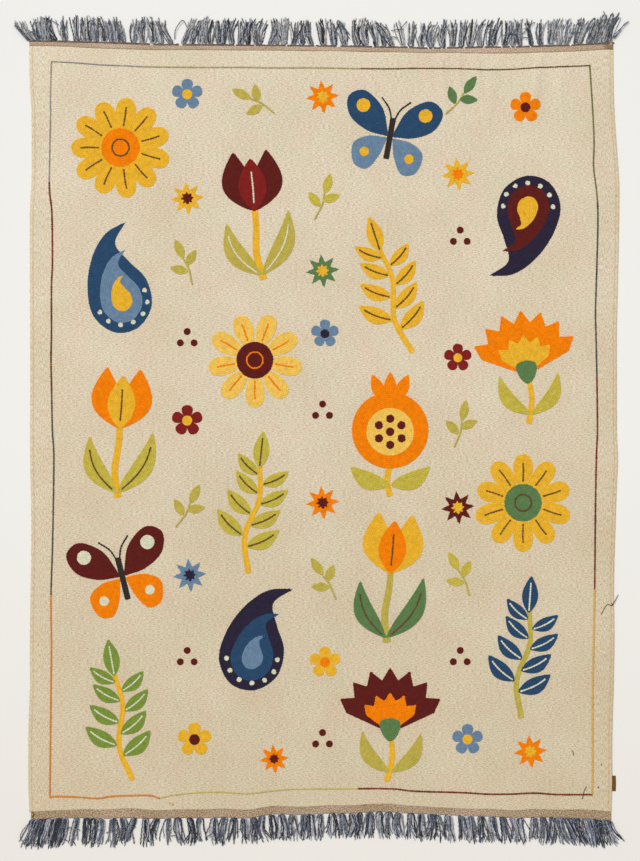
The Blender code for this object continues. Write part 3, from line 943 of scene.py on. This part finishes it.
def smooth(points, closed=False):
    """A smooth curve through points."""
    p = np.array(points, float)
    if closed:
        p = np.vstack([p[-1], p, p[0], p[1]])
    else:
        p = np.vstack([2 * p[0] - p[1], p, 2 * p[-1] - p[-2]])
    t = np.linspace(0, 1, CURVE_STEPS, endpoint=False)[:, None]
    runs = []
    for a, b, c, d in zip(p, p[1:], p[2:], p[3:]):
        square = 2 * a - 5 * b + 4 * c - d
        cube = 3 * b - a - 3 * c + d
        runs.append(0.5 * (2 * b + (c - a) * t + square * t**2 + cube * t**3))
    if not closed:
        runs.append(p[-2:-1])
    return np.vstack(runs)


def turned(points, degrees, offset=(0, 0), scale=1.0, mirror=1):
    """Points mirrored in x, scaled, turned clockwise and moved."""
    a = math.radians(degrees)
    turn = np.array([[math.cos(a), -math.sin(a)], [math.sin(a), math.cos(a)]])
    return np.array(points, float) * scale * (mirror, 1) @ turn + offset


def leaf(length, width, bend=0.0):
    """A pointed leaf growing along y from the origin, bent towards x."""
    t = np.linspace(0, 1, 22)
    half = width / 2 * np.sin(np.pi * t) ** 0.85 * (1.12 - 0.3 * t)
    spine = bend * np.sin(np.pi * t * 0.9)
    right = np.stack([spine + half, length * t], 1)
    left = np.stack([spine - half, length * t], 1)
    return np.vstack([right, left[-2:0:-1]])


def vein(length, bend=0.0):
    """The middle vein of a leaf."""
    t = np.linspace(0.1, 0.78, 9)
    return np.stack([bend * np.sin(np.pi * t * 0.9), length * t], 1)


def petal(inner, outer, width):
    """A round-ended petal along y between two radii."""
    t = np.linspace(0, 1, 20)
    half = width / 2 * np.sqrt(np.clip(1 - (2 * t - 1) ** 2, 0, 1)) * (0.62 + 0.42 * t)
    y = inner + (outer - inner) * t
    return np.vstack([np.stack([half, y], 1), np.stack([-half, y], 1)[-2:0:-1]])


def disc(radius, x=0.0, y=0.0):
    """A round outline."""
    a = np.linspace(0, 2 * np.pi, 36, endpoint=False)
    return np.stack([x + radius * np.cos(a), y + radius * np.sin(a)], 1)


def stroke(path, width, taper=1.0):
    """A band along a path, its width changing to taper times that at the end."""
    p = np.array(path, float)
    ahead = np.gradient(p, axis=0)
    ahead /= np.linalg.norm(ahead, axis=1)[:, None]
    side = np.stack([-ahead[:, 1], ahead[:, 0]], 1)
    half = (width / 2 * np.linspace(1, taper, len(p)))[:, None]
    return np.vstack([p + side * half, (p - side * half)[::-1]])


def daisy(petals, heart, veins, count=11):
    """A round flower with a ring of petals."""
    for i in range(count):
        angle = 360 * i / count
        reach = 70 * (1 + 0.05 * math.sin(3.1 * i))
        yield Fill(turned(petal(19, reach, 33), angle), petals)
        yield Line(turned([(0, 32), (0.5, (24 + reach) / 2), (0, reach - 15)], angle), veins)
    yield Fill(disc(27), heart)
    yield Line(disc(12)[list(range(0, 36, 3)) + [0]], veins)


def tulip(sides, middle, stem, leaves, veins):
    """A tulip on a stem with two long leaves."""
    yield Fill(stroke(smooth([(4, -98), (-3, -60), (0, -20), (0, 12)]), 11, 0.8), stem)
    for mirror, length, angle in ((1, 104, 24), (-1, 92, -26)):
        yield Fill(turned(leaf(length, 30, 16), angle, (2, -92), 1, mirror), leaves)
        yield Line(turned(vein(length, 16), angle, (2, -92), 1, mirror), veins)
    for mirror in (1, -1):
        yield Fill(turned(leaf(92, 46, 12), 13 * mirror, (0, 2), 1, mirror), sides)
    yield Fill(turned(leaf(78, 42), 0, (0, 2)), middle)
    yield Line([(0, 16), (0.5, 36), (0, 58)], veins)


def paisley(outer, middle, inner, dots):
    """A curved drop in three layers with a row of dots."""
    knots = [(30, 98), (8, 70), (22, 40), (42, 8), (42, -32), (16, -60), (-20, -60), (-46, -30), (-46, 14)]
    drop = smooth(knots + [(-30, 56), (-4, 86), (30, 98)])[:-1]
    yield Fill(drop, outer)
    for size, colour in ((0.66, middle), (0.33, inner)):
        yield Fill((drop - (0, -12)) * size + (1, -15), colour)
    for i in range(7):
        a = math.radians(195 + 30 * i)
        yield Fill(disc(3.6, 0.5 + 38 * math.cos(a) * 0.98, -17 + 35 * math.sin(a)), dots)


def butterfly(upper, lower, spot, body):
    """Two pairs of wings, a body and feelers."""
    for m in (1, -1):
        wing = smooth([(4, 4), (20, 42), (52, 64), (76, 50), (68, 20), (38, 2), (4, -2)])
        yield Fill(wing * (m, 1), upper)
        wing = smooth([(4, -4), (34, -6), (56, -22), (50, -52), (28, -58), (12, -34), (4, -4)])[:-1]
        yield Fill(wing * (m, 1), lower)
        yield Fill(disc(11, 50 * m, 40), spot)
        yield Fill(disc(7.5, 36 * m, -32), spot)
        yield Line(smooth([(2 * m, 24), (9 * m, 42), (22 * m, 56)]), body)
    yield Fill(stroke([(0, -38), (0, -18), (0, 6), (0, 28)], 9), body)


def sprig(stem, leaves, veins):
    """A bent stem with leaves on both sides and one at its tip."""
    path = smooth([(8, -98), (-6, -48), (5, 6), (-2, 52)])
    yield Fill(stroke(path, 8, 0.8), stem)
    for i in range(4):
        for mirror in (1, -1):
            x, y = path[min(6 + i * 4 - mirror, len(path) - 1)]
            size = 1.08 - 0.07 * i
            yield Fill(turned(leaf(48, 22, 4), 52 * mirror, (x + 2 * mirror, y), size, mirror), leaves)
            yield Line(turned(vein(48, 4), 52 * mirror, (x + 2 * mirror, y), size, mirror), veins)
    yield Fill(turned(leaf(52, 23), -4, path[-1] - (0, 4)), leaves)
    yield Line(turned(vein(52), -4, path[-1] - (0, 4)), veins)


def pomegranate(skin, flesh, seeds, leaves, stem):
    """A cut fruit with its crown, seeds and two leaves."""
    yield Fill(stroke(smooth([(0, -86), (-4, -66), (0, -40)]), 8), stem)
    for mirror in (1, -1):
        yield Fill(turned(leaf(58, 24, 8), 62 * mirror, (0, -72), 1, mirror), leaves)
    for angle in (-24, 0, 24):
        yield Fill(turned(leaf(38, 17), angle, (angle * 0.35, 38)), skin)
    yield Fill(disc(50), skin)
    yield Fill(disc(31, 0, -2), flesh)
    yield Fill(disc(5.5, 0, -2), seeds)
    for i in range(6):
        a = math.radians(60 * i + 30)
        yield Fill(disc(5.5, 17 * math.cos(a), -2 + 17 * math.sin(a)), seeds)


def fan(teeth, spread, inner, outer, foot):
    """A toothed fan opening upwards from a narrow foot."""
    rim = []
    for i in range(2 * teeth + 1):
        a = math.radians(90 + spread / 2 - spread * i / (2 * teeth))
        r = outer if i % 2 else inner
        rim.append((r * math.cos(a) * 0.92, -22 + r * math.sin(a)))
    return np.array([(-foot, -22)] + rim + [(foot, -22)])


def carnation(petals, heart, calyx, stem, leaves):
    """A fan of toothed petals on a stem."""
    yield Fill(stroke(smooth([(-5, -96), (3, -60), (0, -24)]), 9, 0.8), stem)
    for mirror, angle in ((1, 34), (-1, -30)):
        yield Fill(turned(leaf(74, 22, 14), angle, (0, -84), 1, mirror), leaves)
    yield Fill(fan(7, 140, 74, 92, 9), petals)
    yield Fill(fan(5, 120, 44, 56, 5), heart)
    yield Fill(smooth([(-15, -10), (-11, -28), (0, -38), (11, -28), (15, -10), (0, -4)], True), calyx)


def star(outer, inner):
    """An eight-pointed star with a smaller one in it."""
    for size, colour in ((34, outer), (15, inner)):
        a = np.pi * np.arange(16) / 8 + 0.1
        r = np.where(np.arange(16) % 2, 0.52, 1.0) * size
        yield Fill(np.stack([r * np.cos(a), r * np.sin(a)], 1), colour)


def twig(stem, leaves):
    """Three small leaves on a curved stalk."""
    yield Line(smooth([(0, -34), (3, -10), (0, 10)]), stem)
    for angle, y, length in ((-58, -14, 30), (52, -4, 30), (-4, 8, 34)):
        yield Fill(turned(leaf(length, 15), angle, (1, y)), leaves)


def blossom(petals, heart):
    """A small flower with five petals."""
    for i in range(5):
        yield Fill(turned(petal(4, 25, 21), 72 * i), petals)
    yield Fill(disc(8), heart)


def dots(colour):
    """Three round dots in a triangle."""
    return [Fill(disc(5.5, x, y), colour) for x, y in ((-11, -7), (11, -7), (0, 11))]


# Where each motif lies: its x, y, turn in degrees and size
LARGE_MOTIFS = (
    (daisy("gold", "orange", "rust"), -418, 585, 8, 1.05),
    (paisley("blue", "sky", "gold", "cream"), -420, 290, -12, 0.98),
    (tulip("orange", "gold", "gold", "lime", "rust"), -420, 0, 4, 1.0),
    (butterfly("maroon", "orange", "cream", "ink"), -415, -300, -14, 0.95),
    (sprig("gold", "grass", "cream"), -420, -580, -6, 1.05),
    (tulip("maroon", "red", "gold", "olive", "cream"), -140, 450, -5, 1.0),
    (daisy("straw", "maroon", "orange", 9), -140, 145, 20, 1.0),
    (sprig("gold", "lime", "rust"), -140, -150, 10, 1.05),
    (paisley("navy", "blue", "sky", "cream"), -140, -450, 16, 1.0),
    (butterfly("blue", "sky", "gold", "ink"), 140, 610, 10, 0.92),
    (sprig("gold", "gold", "rust"), 140, 300, -14, 1.05),
    (pomegranate("orange", "straw", "maroon", "lime", "gold"), 140, 0, 0, 1.12),
    (tulip("gold", "orange", "olive", "green", "rust"), 140, -300, 5, 1.0),
    (carnation("maroon", "orange", "green", "gold", "olive"), 140, -590, 0, 1.0),
    (paisley("navy", "maroon", "gold", "cream"), 420, 440, -165, 0.98),
    (carnation("orange", "gold", "green", "gold", "lime"), 420, 150, -6, 1.0),
    (daisy("gold", "green", "rust", 10), 415, -150, 0, 1.02),
    (sprig("olive", "blue", "cream"), 420, -450, 8, 1.05),
)
SMALL_MOTIFS = (
    (blossom("sky", "gold"), -280, 695, 0, 1.0),
    (twig("olive", "olive"), -140, 680, -60, 1.0),
    (star("orange", "gold"), 0, 690, 0, 0.8),
    (twig("olive", "green"), 285, 690, 40, 1.0),
    (blossom("orange", "maroon"), 420, 668, 0, 1.0),
    (star("gold", "maroon"), -280, 480, 0, 0.8),
    (twig("olive", "olive"), -285, 345, -20, 1.0),
    (dots("maroon"), -280, 190, 0, 1.0),
    (blossom("red", "gold"), -280, 20, 0, 1.0),
    (twig("olive", "olive"), -280, -160, 30, 1.0),
    (star("sky", "navy"), -275, -300, 0, 0.8),
    (dots("maroon"), -280, -470, 0, 1.0),
    (blossom("gold", "maroon"), -265, -640, 0, 1.1),
    (star("orange", "maroon"), -100, -680, 0, 0.7),
    (twig("olive", "lime"), 0, 480, 20, 1.0),
    (star("green", "gold"), 0, 330, 0, 0.8),
    (blossom("sky", "navy"), 5, 200, 0, 0.9),
    (dots("maroon"), 0, 40, 0, 1.0),
    (star("orange", "maroon"), 0, -150, 0, 0.8),
    (twig("olive", "olive"), 5, -310, -30, 1.0),
    (blossom("gold", "orange"), 5, -480, 0, 1.0),
    (dots("maroon"), 0, -640, 0, 1.0),
    (star("gold", "orange"), 280, 530, 0, 0.8),
    (dots("maroon"), 285, 400, 0, 1.0),
    (blossom("red", "gold"), 280, 150, 0, 0.9),
    (twig("olive", "olive"), 285, 10, 15, 1.0),
    (star("maroon", "gold"), 280, -160, 0, 0.8),
    (twig("olive", "lime"), 285, -300, -25, 1.0),
    (dots("maroon"), 285, -470, 0, 1.0),
    (blossom("sky", "gold"), 300, -640, 0, 1.0),
    (star("orange", "gold"), 430, -665, 0, 0.8),
)


def depth_field(outline):
    """How deep each place of a grid lies inside an outline, with the grid's lowest corner."""
    low = outline.min(0) - 2 * FIELD_STEP
    high = outline.max(0) + 2 * FIELD_STEP
    xs = np.arange(low[0], high[0], FIELD_STEP)
    ys = np.arange(low[1], high[1], FIELD_STEP)
    places = np.stack(np.meshgrid(xs, ys), -1).reshape(-1, 2)
    start, span = outline, np.roll(outline, -1, 0) - outline
    offset = places[:, None] - start[None]
    t = np.clip((offset * span).sum(-1) / np.maximum((span**2).sum(-1), 1e-9), 0, 1)
    away = np.sqrt(((offset - t[..., None] * span) ** 2).sum(-1)).min(1)
    depth = np.where(inside(outline, places), away, -away)
    return depth.reshape(len(ys), len(xs)), low


def inside(outline, places):
    """Whether each place lies inside a closed outline."""
    x, y = places[:, 0][:, None], places[:, 1][:, None]
    ax, ay = outline[:, 0], outline[:, 1]
    bx, by = np.roll(ax, -1), np.roll(ay, -1)
    level = (ay > y) != (by > y)
    reach = ax + (y - ay) * (bx - ax) / np.where(by == ay, 1e-9, by - ay)
    return (level & (x < reach)).sum(1) % 2 == 1


def contours(depth, level):
    """Closed lines at one depth, in grid steps."""
    above = depth > level
    mixed = above[:-1, :-1].astype(int) + above[:-1, 1:] + above[1:, :-1] + above[1:, 1:]
    joins = {}
    for j, i in np.argwhere((mixed > 0) & (mixed < 4)):
        corners = (above[j, i], above[j, i + 1], above[j + 1, i + 1], above[j + 1, i])
        edges = ((j, i, 0), (j, i + 1, 1), (j + 1, i, 0), (j, i, 1))
        cut = [edges[k] for k in range(4) if corners[k] != corners[(k + 1) % 4]]
        for first, second in zip(cut[::2], cut[1::2]):
            joins.setdefault(first, []).append(second)
            joins.setdefault(second, []).append(first)

    def crossing(edge):
        j, i, upright = edge
        here, there = depth[j, i], depth[j + upright, i + 1 - upright]
        t = (level - here) / (there - here)
        return (i + t * (1 - upright), j + t * upright)

    lines = []
    while joins:
        edge = next(iter(joins))
        line = []
        while edge in joins:
            line.append(crossing(edge))
            onward = [other for other in joins.pop(edge) if other in joins]
            edge = onward[0] if onward else None
        lines.append(np.array(line))
    return lines


def line_links(path, half_width, height, above):
    """A single line of chain stitches on the ground cloth."""
    return lay_links(path, LINE_LENGTH, half_width, height, above, ground=GROUND_THICKNESS)


def fill_links(outline, covers, above):
    """Rows of chain stitches that follow a shape's outline inwards, but for what later shapes cover."""
    depth, low = depth_field(outline)
    made = []
    level = FIRST_ROW
    while level < depth.max() - LAST_ROW:
        for line in contours(depth, level):
            path = line * FIELD_STEP + low
            if len(path) < 4:
                continue
            path = spaced(path, LINK_PITCH, closed=True)
            points, faces = lay_links(
                path, LINK_LENGTH, LINK_HALF_WIDTH, LINK_HEIGHT, above, PLAIN_LINK, True, GROUND_THICKNESS
            )
            keep = np.ones(len(path), bool)
            for cover in covers:
                keep &= ~inside(cover, path)
            if keep.any():
                size = len(PLAIN_LINK[0])
                points = points.reshape(len(path), size, 3)[keep].reshape(-1, 3)
                faces = faces[: len(PLAIN_LINK[1]) * int(keep.sum())]
                made.append((points, faces))
        level += ROW_PITCH
    return made


def pad(outline, above):
    """The underlay of a filled shape, following the cloth."""
    low, high = outline.min(0), outline.max(0)
    grid = [np.arange(a + PAD_POINTS / 2, b, PAD_POINTS) for a, b in zip(low, high)]
    places = np.stack(np.meshgrid(*grid), -1).reshape(-1, 2)
    places = places[inside(outline, places)] if len(places) else places
    rim = outline + (outline.mean(0) - outline) * PAD_INSET
    count = len(rim)
    verts = [tuple(point) for point in (*rim, *places)]
    edges = [(i, (i + 1) % count) for i in range(count)]
    flat, _, tris, *_ = delaunay_2d_cdt(verts, edges, [], 1, 1e-5)
    flat = np.array([tuple(point) for point in flat])
    height = above + GROUND_THICKNESS + cloth_rise(flat[:, 0], flat[:, 1])
    points = np.column_stack([flat, height])
    return points, tris


def stack(shapes):
    """How many layers of other colours each shape of a motif lies on."""
    layers = []
    for k, shape in enumerate(shapes):
        layer = 0
        for other, depth in zip(shapes[:k], layers):
            if isinstance(other, Line) or other.colour == shape.colour:
                continue
            if inside(other.outline, shape.outline).any():
                layer = max(layer, depth + 1)
        layers.append(layer)
    return layers


def gather_garden():
    """Every stitch and pad of the pattern by colour."""
    stitches, pads = {}, {}
    garden = [(row, MOTIF_SIZE) for row in LARGE_MOTIFS] + [(row, SMALL_SIZE) for row in SMALL_MOTIFS]
    for (motif, x, y, angle, size), scale in garden:
        shapes = []
        for shape in motif:
            shapes.append(shape._replace(outline=turned(shape.outline, angle, (x, y), size * scale)))
        layers = stack(shapes)
        for k, shape in enumerate(shapes):
            above = PAD_RISE + LAYER_RISE * layers[k]
            covers = [other.outline for other in shapes[k + 1:] if isinstance(other, Fill)]
            if isinstance(shape, Fill):
                stitches.setdefault(shape.colour, []).extend(fill_links(shape.outline, covers, above))
                pads.setdefault(shape.colour, []).append(pad(shape.outline, above))
                continue
            path = spaced(shape.outline, LINE_PITCH)
            for cover in covers:
                path = path[~inside(cover, path)]
            if len(path) > 1:
                made = line_links(path, LINE_HALF_WIDTH, LINE_HEIGHT, above + LINE_RISE)
                stitches.setdefault(shape.colour, []).append(made)
    return stitches, pads


def add_pads(colour, parts, material):
    """All the underlay of one colour."""
    points, faces, first = [], [], 0
    for some_points, some_faces in parts:
        points += [tuple(MM * part for part in point) for point in some_points]
        faces += [[first + i for i in face] for face in some_faces]
        first += len(some_points)
    mesh = bpy.data.meshes.new(f"underlay_{colour}")
    mesh.from_pydata(points, [], faces)
    return dress(f"underlay_{colour}", mesh, material, "ground_wool")


def border_links():
    """The stitched border line's links by colour."""
    made = {}
    for side, knots in BORDER_SIDES.items():
        path = spaced(smooth(knots), LINE_PITCH, inset=BORDER_INSET)
        run = path[:, 0] if side in ("far", "near") else path[:, 1]
        start = -math.inf
        for limit, colour in BORDER_COLOURS[side]:
            part = path[(run >= start) & (run < limit)]
            start = limit
            if len(part) > 1:
                half_width = LINE_HALF_WIDTH * WIDE_LINES.get(colour, 1.0)
                links = line_links(part, half_width, BORDER_HEIGHT, BORDER_RISE)
                made.setdefault(colour, []).append(links)
    stray = np.array([photo_place(*place) for place in STRAY_STITCHES])
    made["hay"].append(line_links(stray, STRAY_WIDTH * LINE_HALF_WIDTH, LINE_HEIGHT, STRAY_RISE))
    return made


# The label: the middle and the length of it along the selvedge, how far it starts inside the edge and
# reaches out, and the outline of its fold, across and up, from the reach
LABEL_Y = -731
LABEL_LENGTH = 31.5
LABEL_INSET = 1.4
LABEL_REACH = 9.0
LABEL_FOLD = (
    (0.9, 0.1), (0.2, 0.35), (0.0, 0.9), (0.2, 1.5), (0.9, 1.75), (LABEL_REACH, 1.75), (LABEL_REACH, 1.15),
    (1.4, 1.15), (1.4, 0.7), (LABEL_REACH, 0.7),
)
LABEL_STEPS = 9


def add_label(material):
    """A plain tape folded in two and caught in the selvedge."""
    start = side_edge(LABEL_Y, 1) - LABEL_INSET
    fold = np.array([(0, 0.1)] + [(LABEL_REACH - back, height) for back, height in LABEL_FOLD])
    rings = []
    for s in np.linspace(-0.5, 0.5, LABEL_STEPS):
        y = np.full(len(fold), LABEL_Y + LABEL_LENGTH * s)
        rings.append(np.column_stack([start + fold[:, 0] + 0.25 * np.cos(s * 5), y, fold[:, 1]]))
    ring = np.arange(len(fold))
    rows = [ring + step * len(fold) for step in range(LABEL_STEPS)]
    faces = np.concatenate([rim_faces(near, far) for near, far in zip(rows, rows[1:])])[:, [0, 3, 2, 1]]
    label = add_piece("label_loop", np.concatenate(rings), faces, material, "label_tape")
    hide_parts("label_tab")
    return label


# How loose yarns and hairs lie
STRAY_POINTS = 30
STRAY_RADIUS = 0.95
STRAY_TOP = 5.5
STRAY_DROP = 2.5
HAIR_POINTS = 24
HAIR_RADIUS = 0.7
HAIR_RISE = 0.6
HAIR_DROOP = 2.6
HAIR_DROOP_REACH = 7

# Loose yarns of the fringes and hairs on the cloth, in the photograph's pixels
STRAY_YARNS = (
    ((28, 41), (21, 33), (14, 25)), ((30, 42), (23, 33), (21, 23)), ((44, 39), (36, 34), (27, 32)),
    ((41, 41), (33, 36), (24, 33)), ((39, 35), (32, 32), (25, 29)), ((36, 41), (31, 37), (28, 32)),
    ((388, 41), (393, 37), (398, 39)), ((391, 30.5), (398, 29.5), (404, 29.5)),
    ((398, 31), (403, 26), (407, 21)), ((338, 20), (344, 31), (350, 39)), ((340, 21), (346, 30), (350, 35)),
    ((310, 29), (306, 34), (305, 38)), ((524, 24), (528, 23), (530, 27)), ((524, 29), (528, 28), (531, 33)),
    ((522, 37), (527, 38), (530, 39)), ((503, 36), (510, 33), (518, 35)), ((570, 33), (575, 33), (580, 32)),
    ((488, 33), (492, 30), (496, 30)), ((613, 38), (618, 33), (622, 27), (629, 21)),
    ((614, 39), (619.5, 31), (623.5, 25), (628, 21.5)), ((612, 38), (616, 33), (621, 28)),
    ((603, 11), (605, 15), (607, 20)), ((88, 829), (96, 829.5), (104, 829)),
    ((106, 833), (110, 831), (116, 828)), ((80, 830), (77, 829), (73, 830)),
    ((236, 833), (239, 829), (243, 828)), ((205, 837), (211, 834), (214, 829)),
    ((300, 822), (296, 829), (293, 834)), ((553, 826), (550, 831), (552, 838)),
    ((595, 832), (602, 826), (610, 831)), ((440, 820), (446, 824), (450, 830)),
    ((52, 21), (56, 23), (59, 25)), ((174.6, 40), (175.5, 30), (182.6, 20.4), (187.4, 28)),
    ((523, 34), (528, 27), (535, 22)), ((504, 35), (511, 34), (517, 36)),
    ((29.5, 823), (23, 830), (20.5, 837), (24, 843)), ((60, 826), (66, 828), (72, 827)),
    ((59, 833), (63, 838), (68, 841)), ((134, 824), (124, 827), (113, 831)),
    ((136, 826), (125, 832), (116, 834)), ((171, 836), (175, 835), (177, 839)),
    ((283, 814), (287, 828), (290.5, 841)), ((420, 826), (432, 820), (445, 826)),
    ((422, 832), (433, 827), (444, 832)), ((482, 822), (488, 832), (485, 842)),
    ((594, 828), (599, 822), (604, 825)),
)
HAIRS = (
    ((600.7, 614.8), (607, 604.6), (612, 605), (618.6, 594.4)), ((611, 603.5), (613, 604.5), (611.5, 606)),
    ((586.6, 786), (584, 791), (583, 796), (582, 799.3)), ((571.5, 750), (573, 752), (573.8, 755.6)),
    ((597.9, 786.9), (598.9, 786.9), (598.0, 787.5), (598.8, 787.8)),
    ((601.0, 764.1), (601.7, 764.1), (601.1, 764.6), (601.6, 764.9)),
    ((32, 811.5), (34.2, 814.2), (32.4, 816.2), (34.6, 818.6)),
)


def photo_curve(knots, count):
    """An even number of points on a smooth curve through pixels of the photograph."""
    return spaced(smooth([photo_place(*knot) for knot in knots]), count=count)


def add_strays(yarn, dark):
    """Loose yarns over the fringes and dark hairs on the cloth, which droop past the selvedge."""
    paths = []
    for knots in STRAY_YARNS:
        height = STRAY_TOP - STRAY_DROP * np.linspace(-1, 1, STRAY_POINTS) ** 2
        paths.append(np.column_stack([photo_curve(knots, STRAY_POINTS), height]))
    strays = add_piece("stray_yarns", *tubes(np.array(paths), STRAY_RADIUS), yarn, "fringe_wool")
    paths = []
    for knots in HAIRS:
        path = photo_curve(knots, HAIR_POINTS)
        height = GROUND_THICKNESS + HAIR_RISE + cloth_rise(path[:, 0], path[:, 1])
        height -= HAIR_DROOP * np.clip((path[:, 0] - side_edge(path[0, 1], 1)) / HAIR_DROOP_REACH, 0, 1)
        paths.append(np.column_stack([path, height]))
    hairs = add_piece("stray_hairs", *tubes(np.array(paths), HAIR_RADIUS, ply=0.0), dark, "fringe_wool")
    return [strays, hairs]


def add_floor():
    """A plain pale floor with painted light and shade, lightest in the middle and darker towards both ends,
    which isn't part of the rug.
    """
    mesh = bpy.data.meshes.new("floor")
    corners = [(FLOOR_REACH * x, FLOOR_REACH * y, 0) for x, y in ((-1, -1), (1, -1), (1, 1), (-1, 1))]
    mesh.from_pydata(corners, [], [(0, 1, 2, 3)])
    material, tree, shader = new_material("floor", 0.0, FLOOR_ROUGHNESS)
    _, _, up = texture_place(tree, "Object")
    # Painted light and shade: lightest in the middle, darker towards the far end, and darker and warmer
    # towards the near end
    painted_light = ramp(tree, maths(tree, "ADD", maths(tree, "MULTIPLY", up, 0.55), 0.5), FLOOR_PAINTED_LIGHT)
    tree.links.new(painted_light, shader.inputs["Base Color"])
    mesh.materials.append(material)
    floor = bpy.data.objects.new("floor", mesh)
    bpy.context.scene.collection.objects.link(floor)
    return floor


def add_lights():
    """Soft studio light from the far left, with a little more at the far end."""
    scene = bpy.context.scene
    world = bpy.data.worlds.new("studio")
    scene.world = world
    world.use_nodes = True
    back = world.node_tree.nodes["Background"]
    back.inputs["Color"].default_value = WORLD_COLOUR
    back.inputs["Strength"].default_value = WORLD_LIGHT
    for name, kind, energy, place, size in LAMPS:
        lamp = bpy.data.lights.new(name, kind)
        lamp.energy = energy
        lamp.color = LAMP_COLOUR
        if kind == "SUN":
            lamp.angle = size
        else:
            lamp.size = size
        holder = bpy.data.objects.new(name, lamp)
        holder.location = place
        holder.rotation_euler = Vector(place).to_track_quat("Z", "Y").to_euler()
        scene.collection.objects.link(holder)


def add_camera():
    """A camera straight above the rug, as in the photograph."""
    scene = bpy.context.scene
    data = bpy.data.cameras.new("camera")
    data.lens = LENS
    data.sensor_width = SENSOR
    data.clip_end = FARTHEST
    camera = bpy.data.objects.new("camera", data)
    camera.location = CAMERA_PLACE
    scene.collection.objects.link(camera)
    scene.camera = camera
    scene.view_settings.view_transform = "Standard"


def main():
    """Build the floor, the lights and every piece of the rug."""
    add_camera()
    add_lights()
    floor = add_floor()
    cloth = add_ground()
    yarns = {}
    for name, colour in YARNS.items():
        spread = SPREADS.get(name, USUAL_SPREAD)
        yarns[name] = yarn_material(f"yarn_{name}", colour, spread, turn=TURNS.get(name))
    pieces = [add_tape(FAR), add_tape(NEAR)]
    dark = yarn_material("fringe_dark", *DARK_DYE)
    pieces += [add_fringe(FAR, fringe_tones_and_painted_light(FAR)), add_heading(dark)]
    tones = fringe_tones_and_painted_light(NEAR)
    pieces.append(add_fringe(NEAR, tones))
    pieces += add_strays(tones[1], yarn_material("hair", *HAIR_DYE))
    add_label(yarn_material("label_tape", *LABEL_DYE))

    stitches, pads = gather_garden()
    for colour, parts in pads.items():
        pieces.append(add_pads(colour, parts, yarns[colour]))
    for colour, parts in stitches.items():
        pieces.append(add_piece(f"stitches_{colour}", *joined(parts), yarns[colour], "ground_wool"))
    for colour, parts in border_links().items():
        pieces.append(add_piece(f"border_{colour}", *joined(parts), yarns[colour], "ground_wool"))


main()
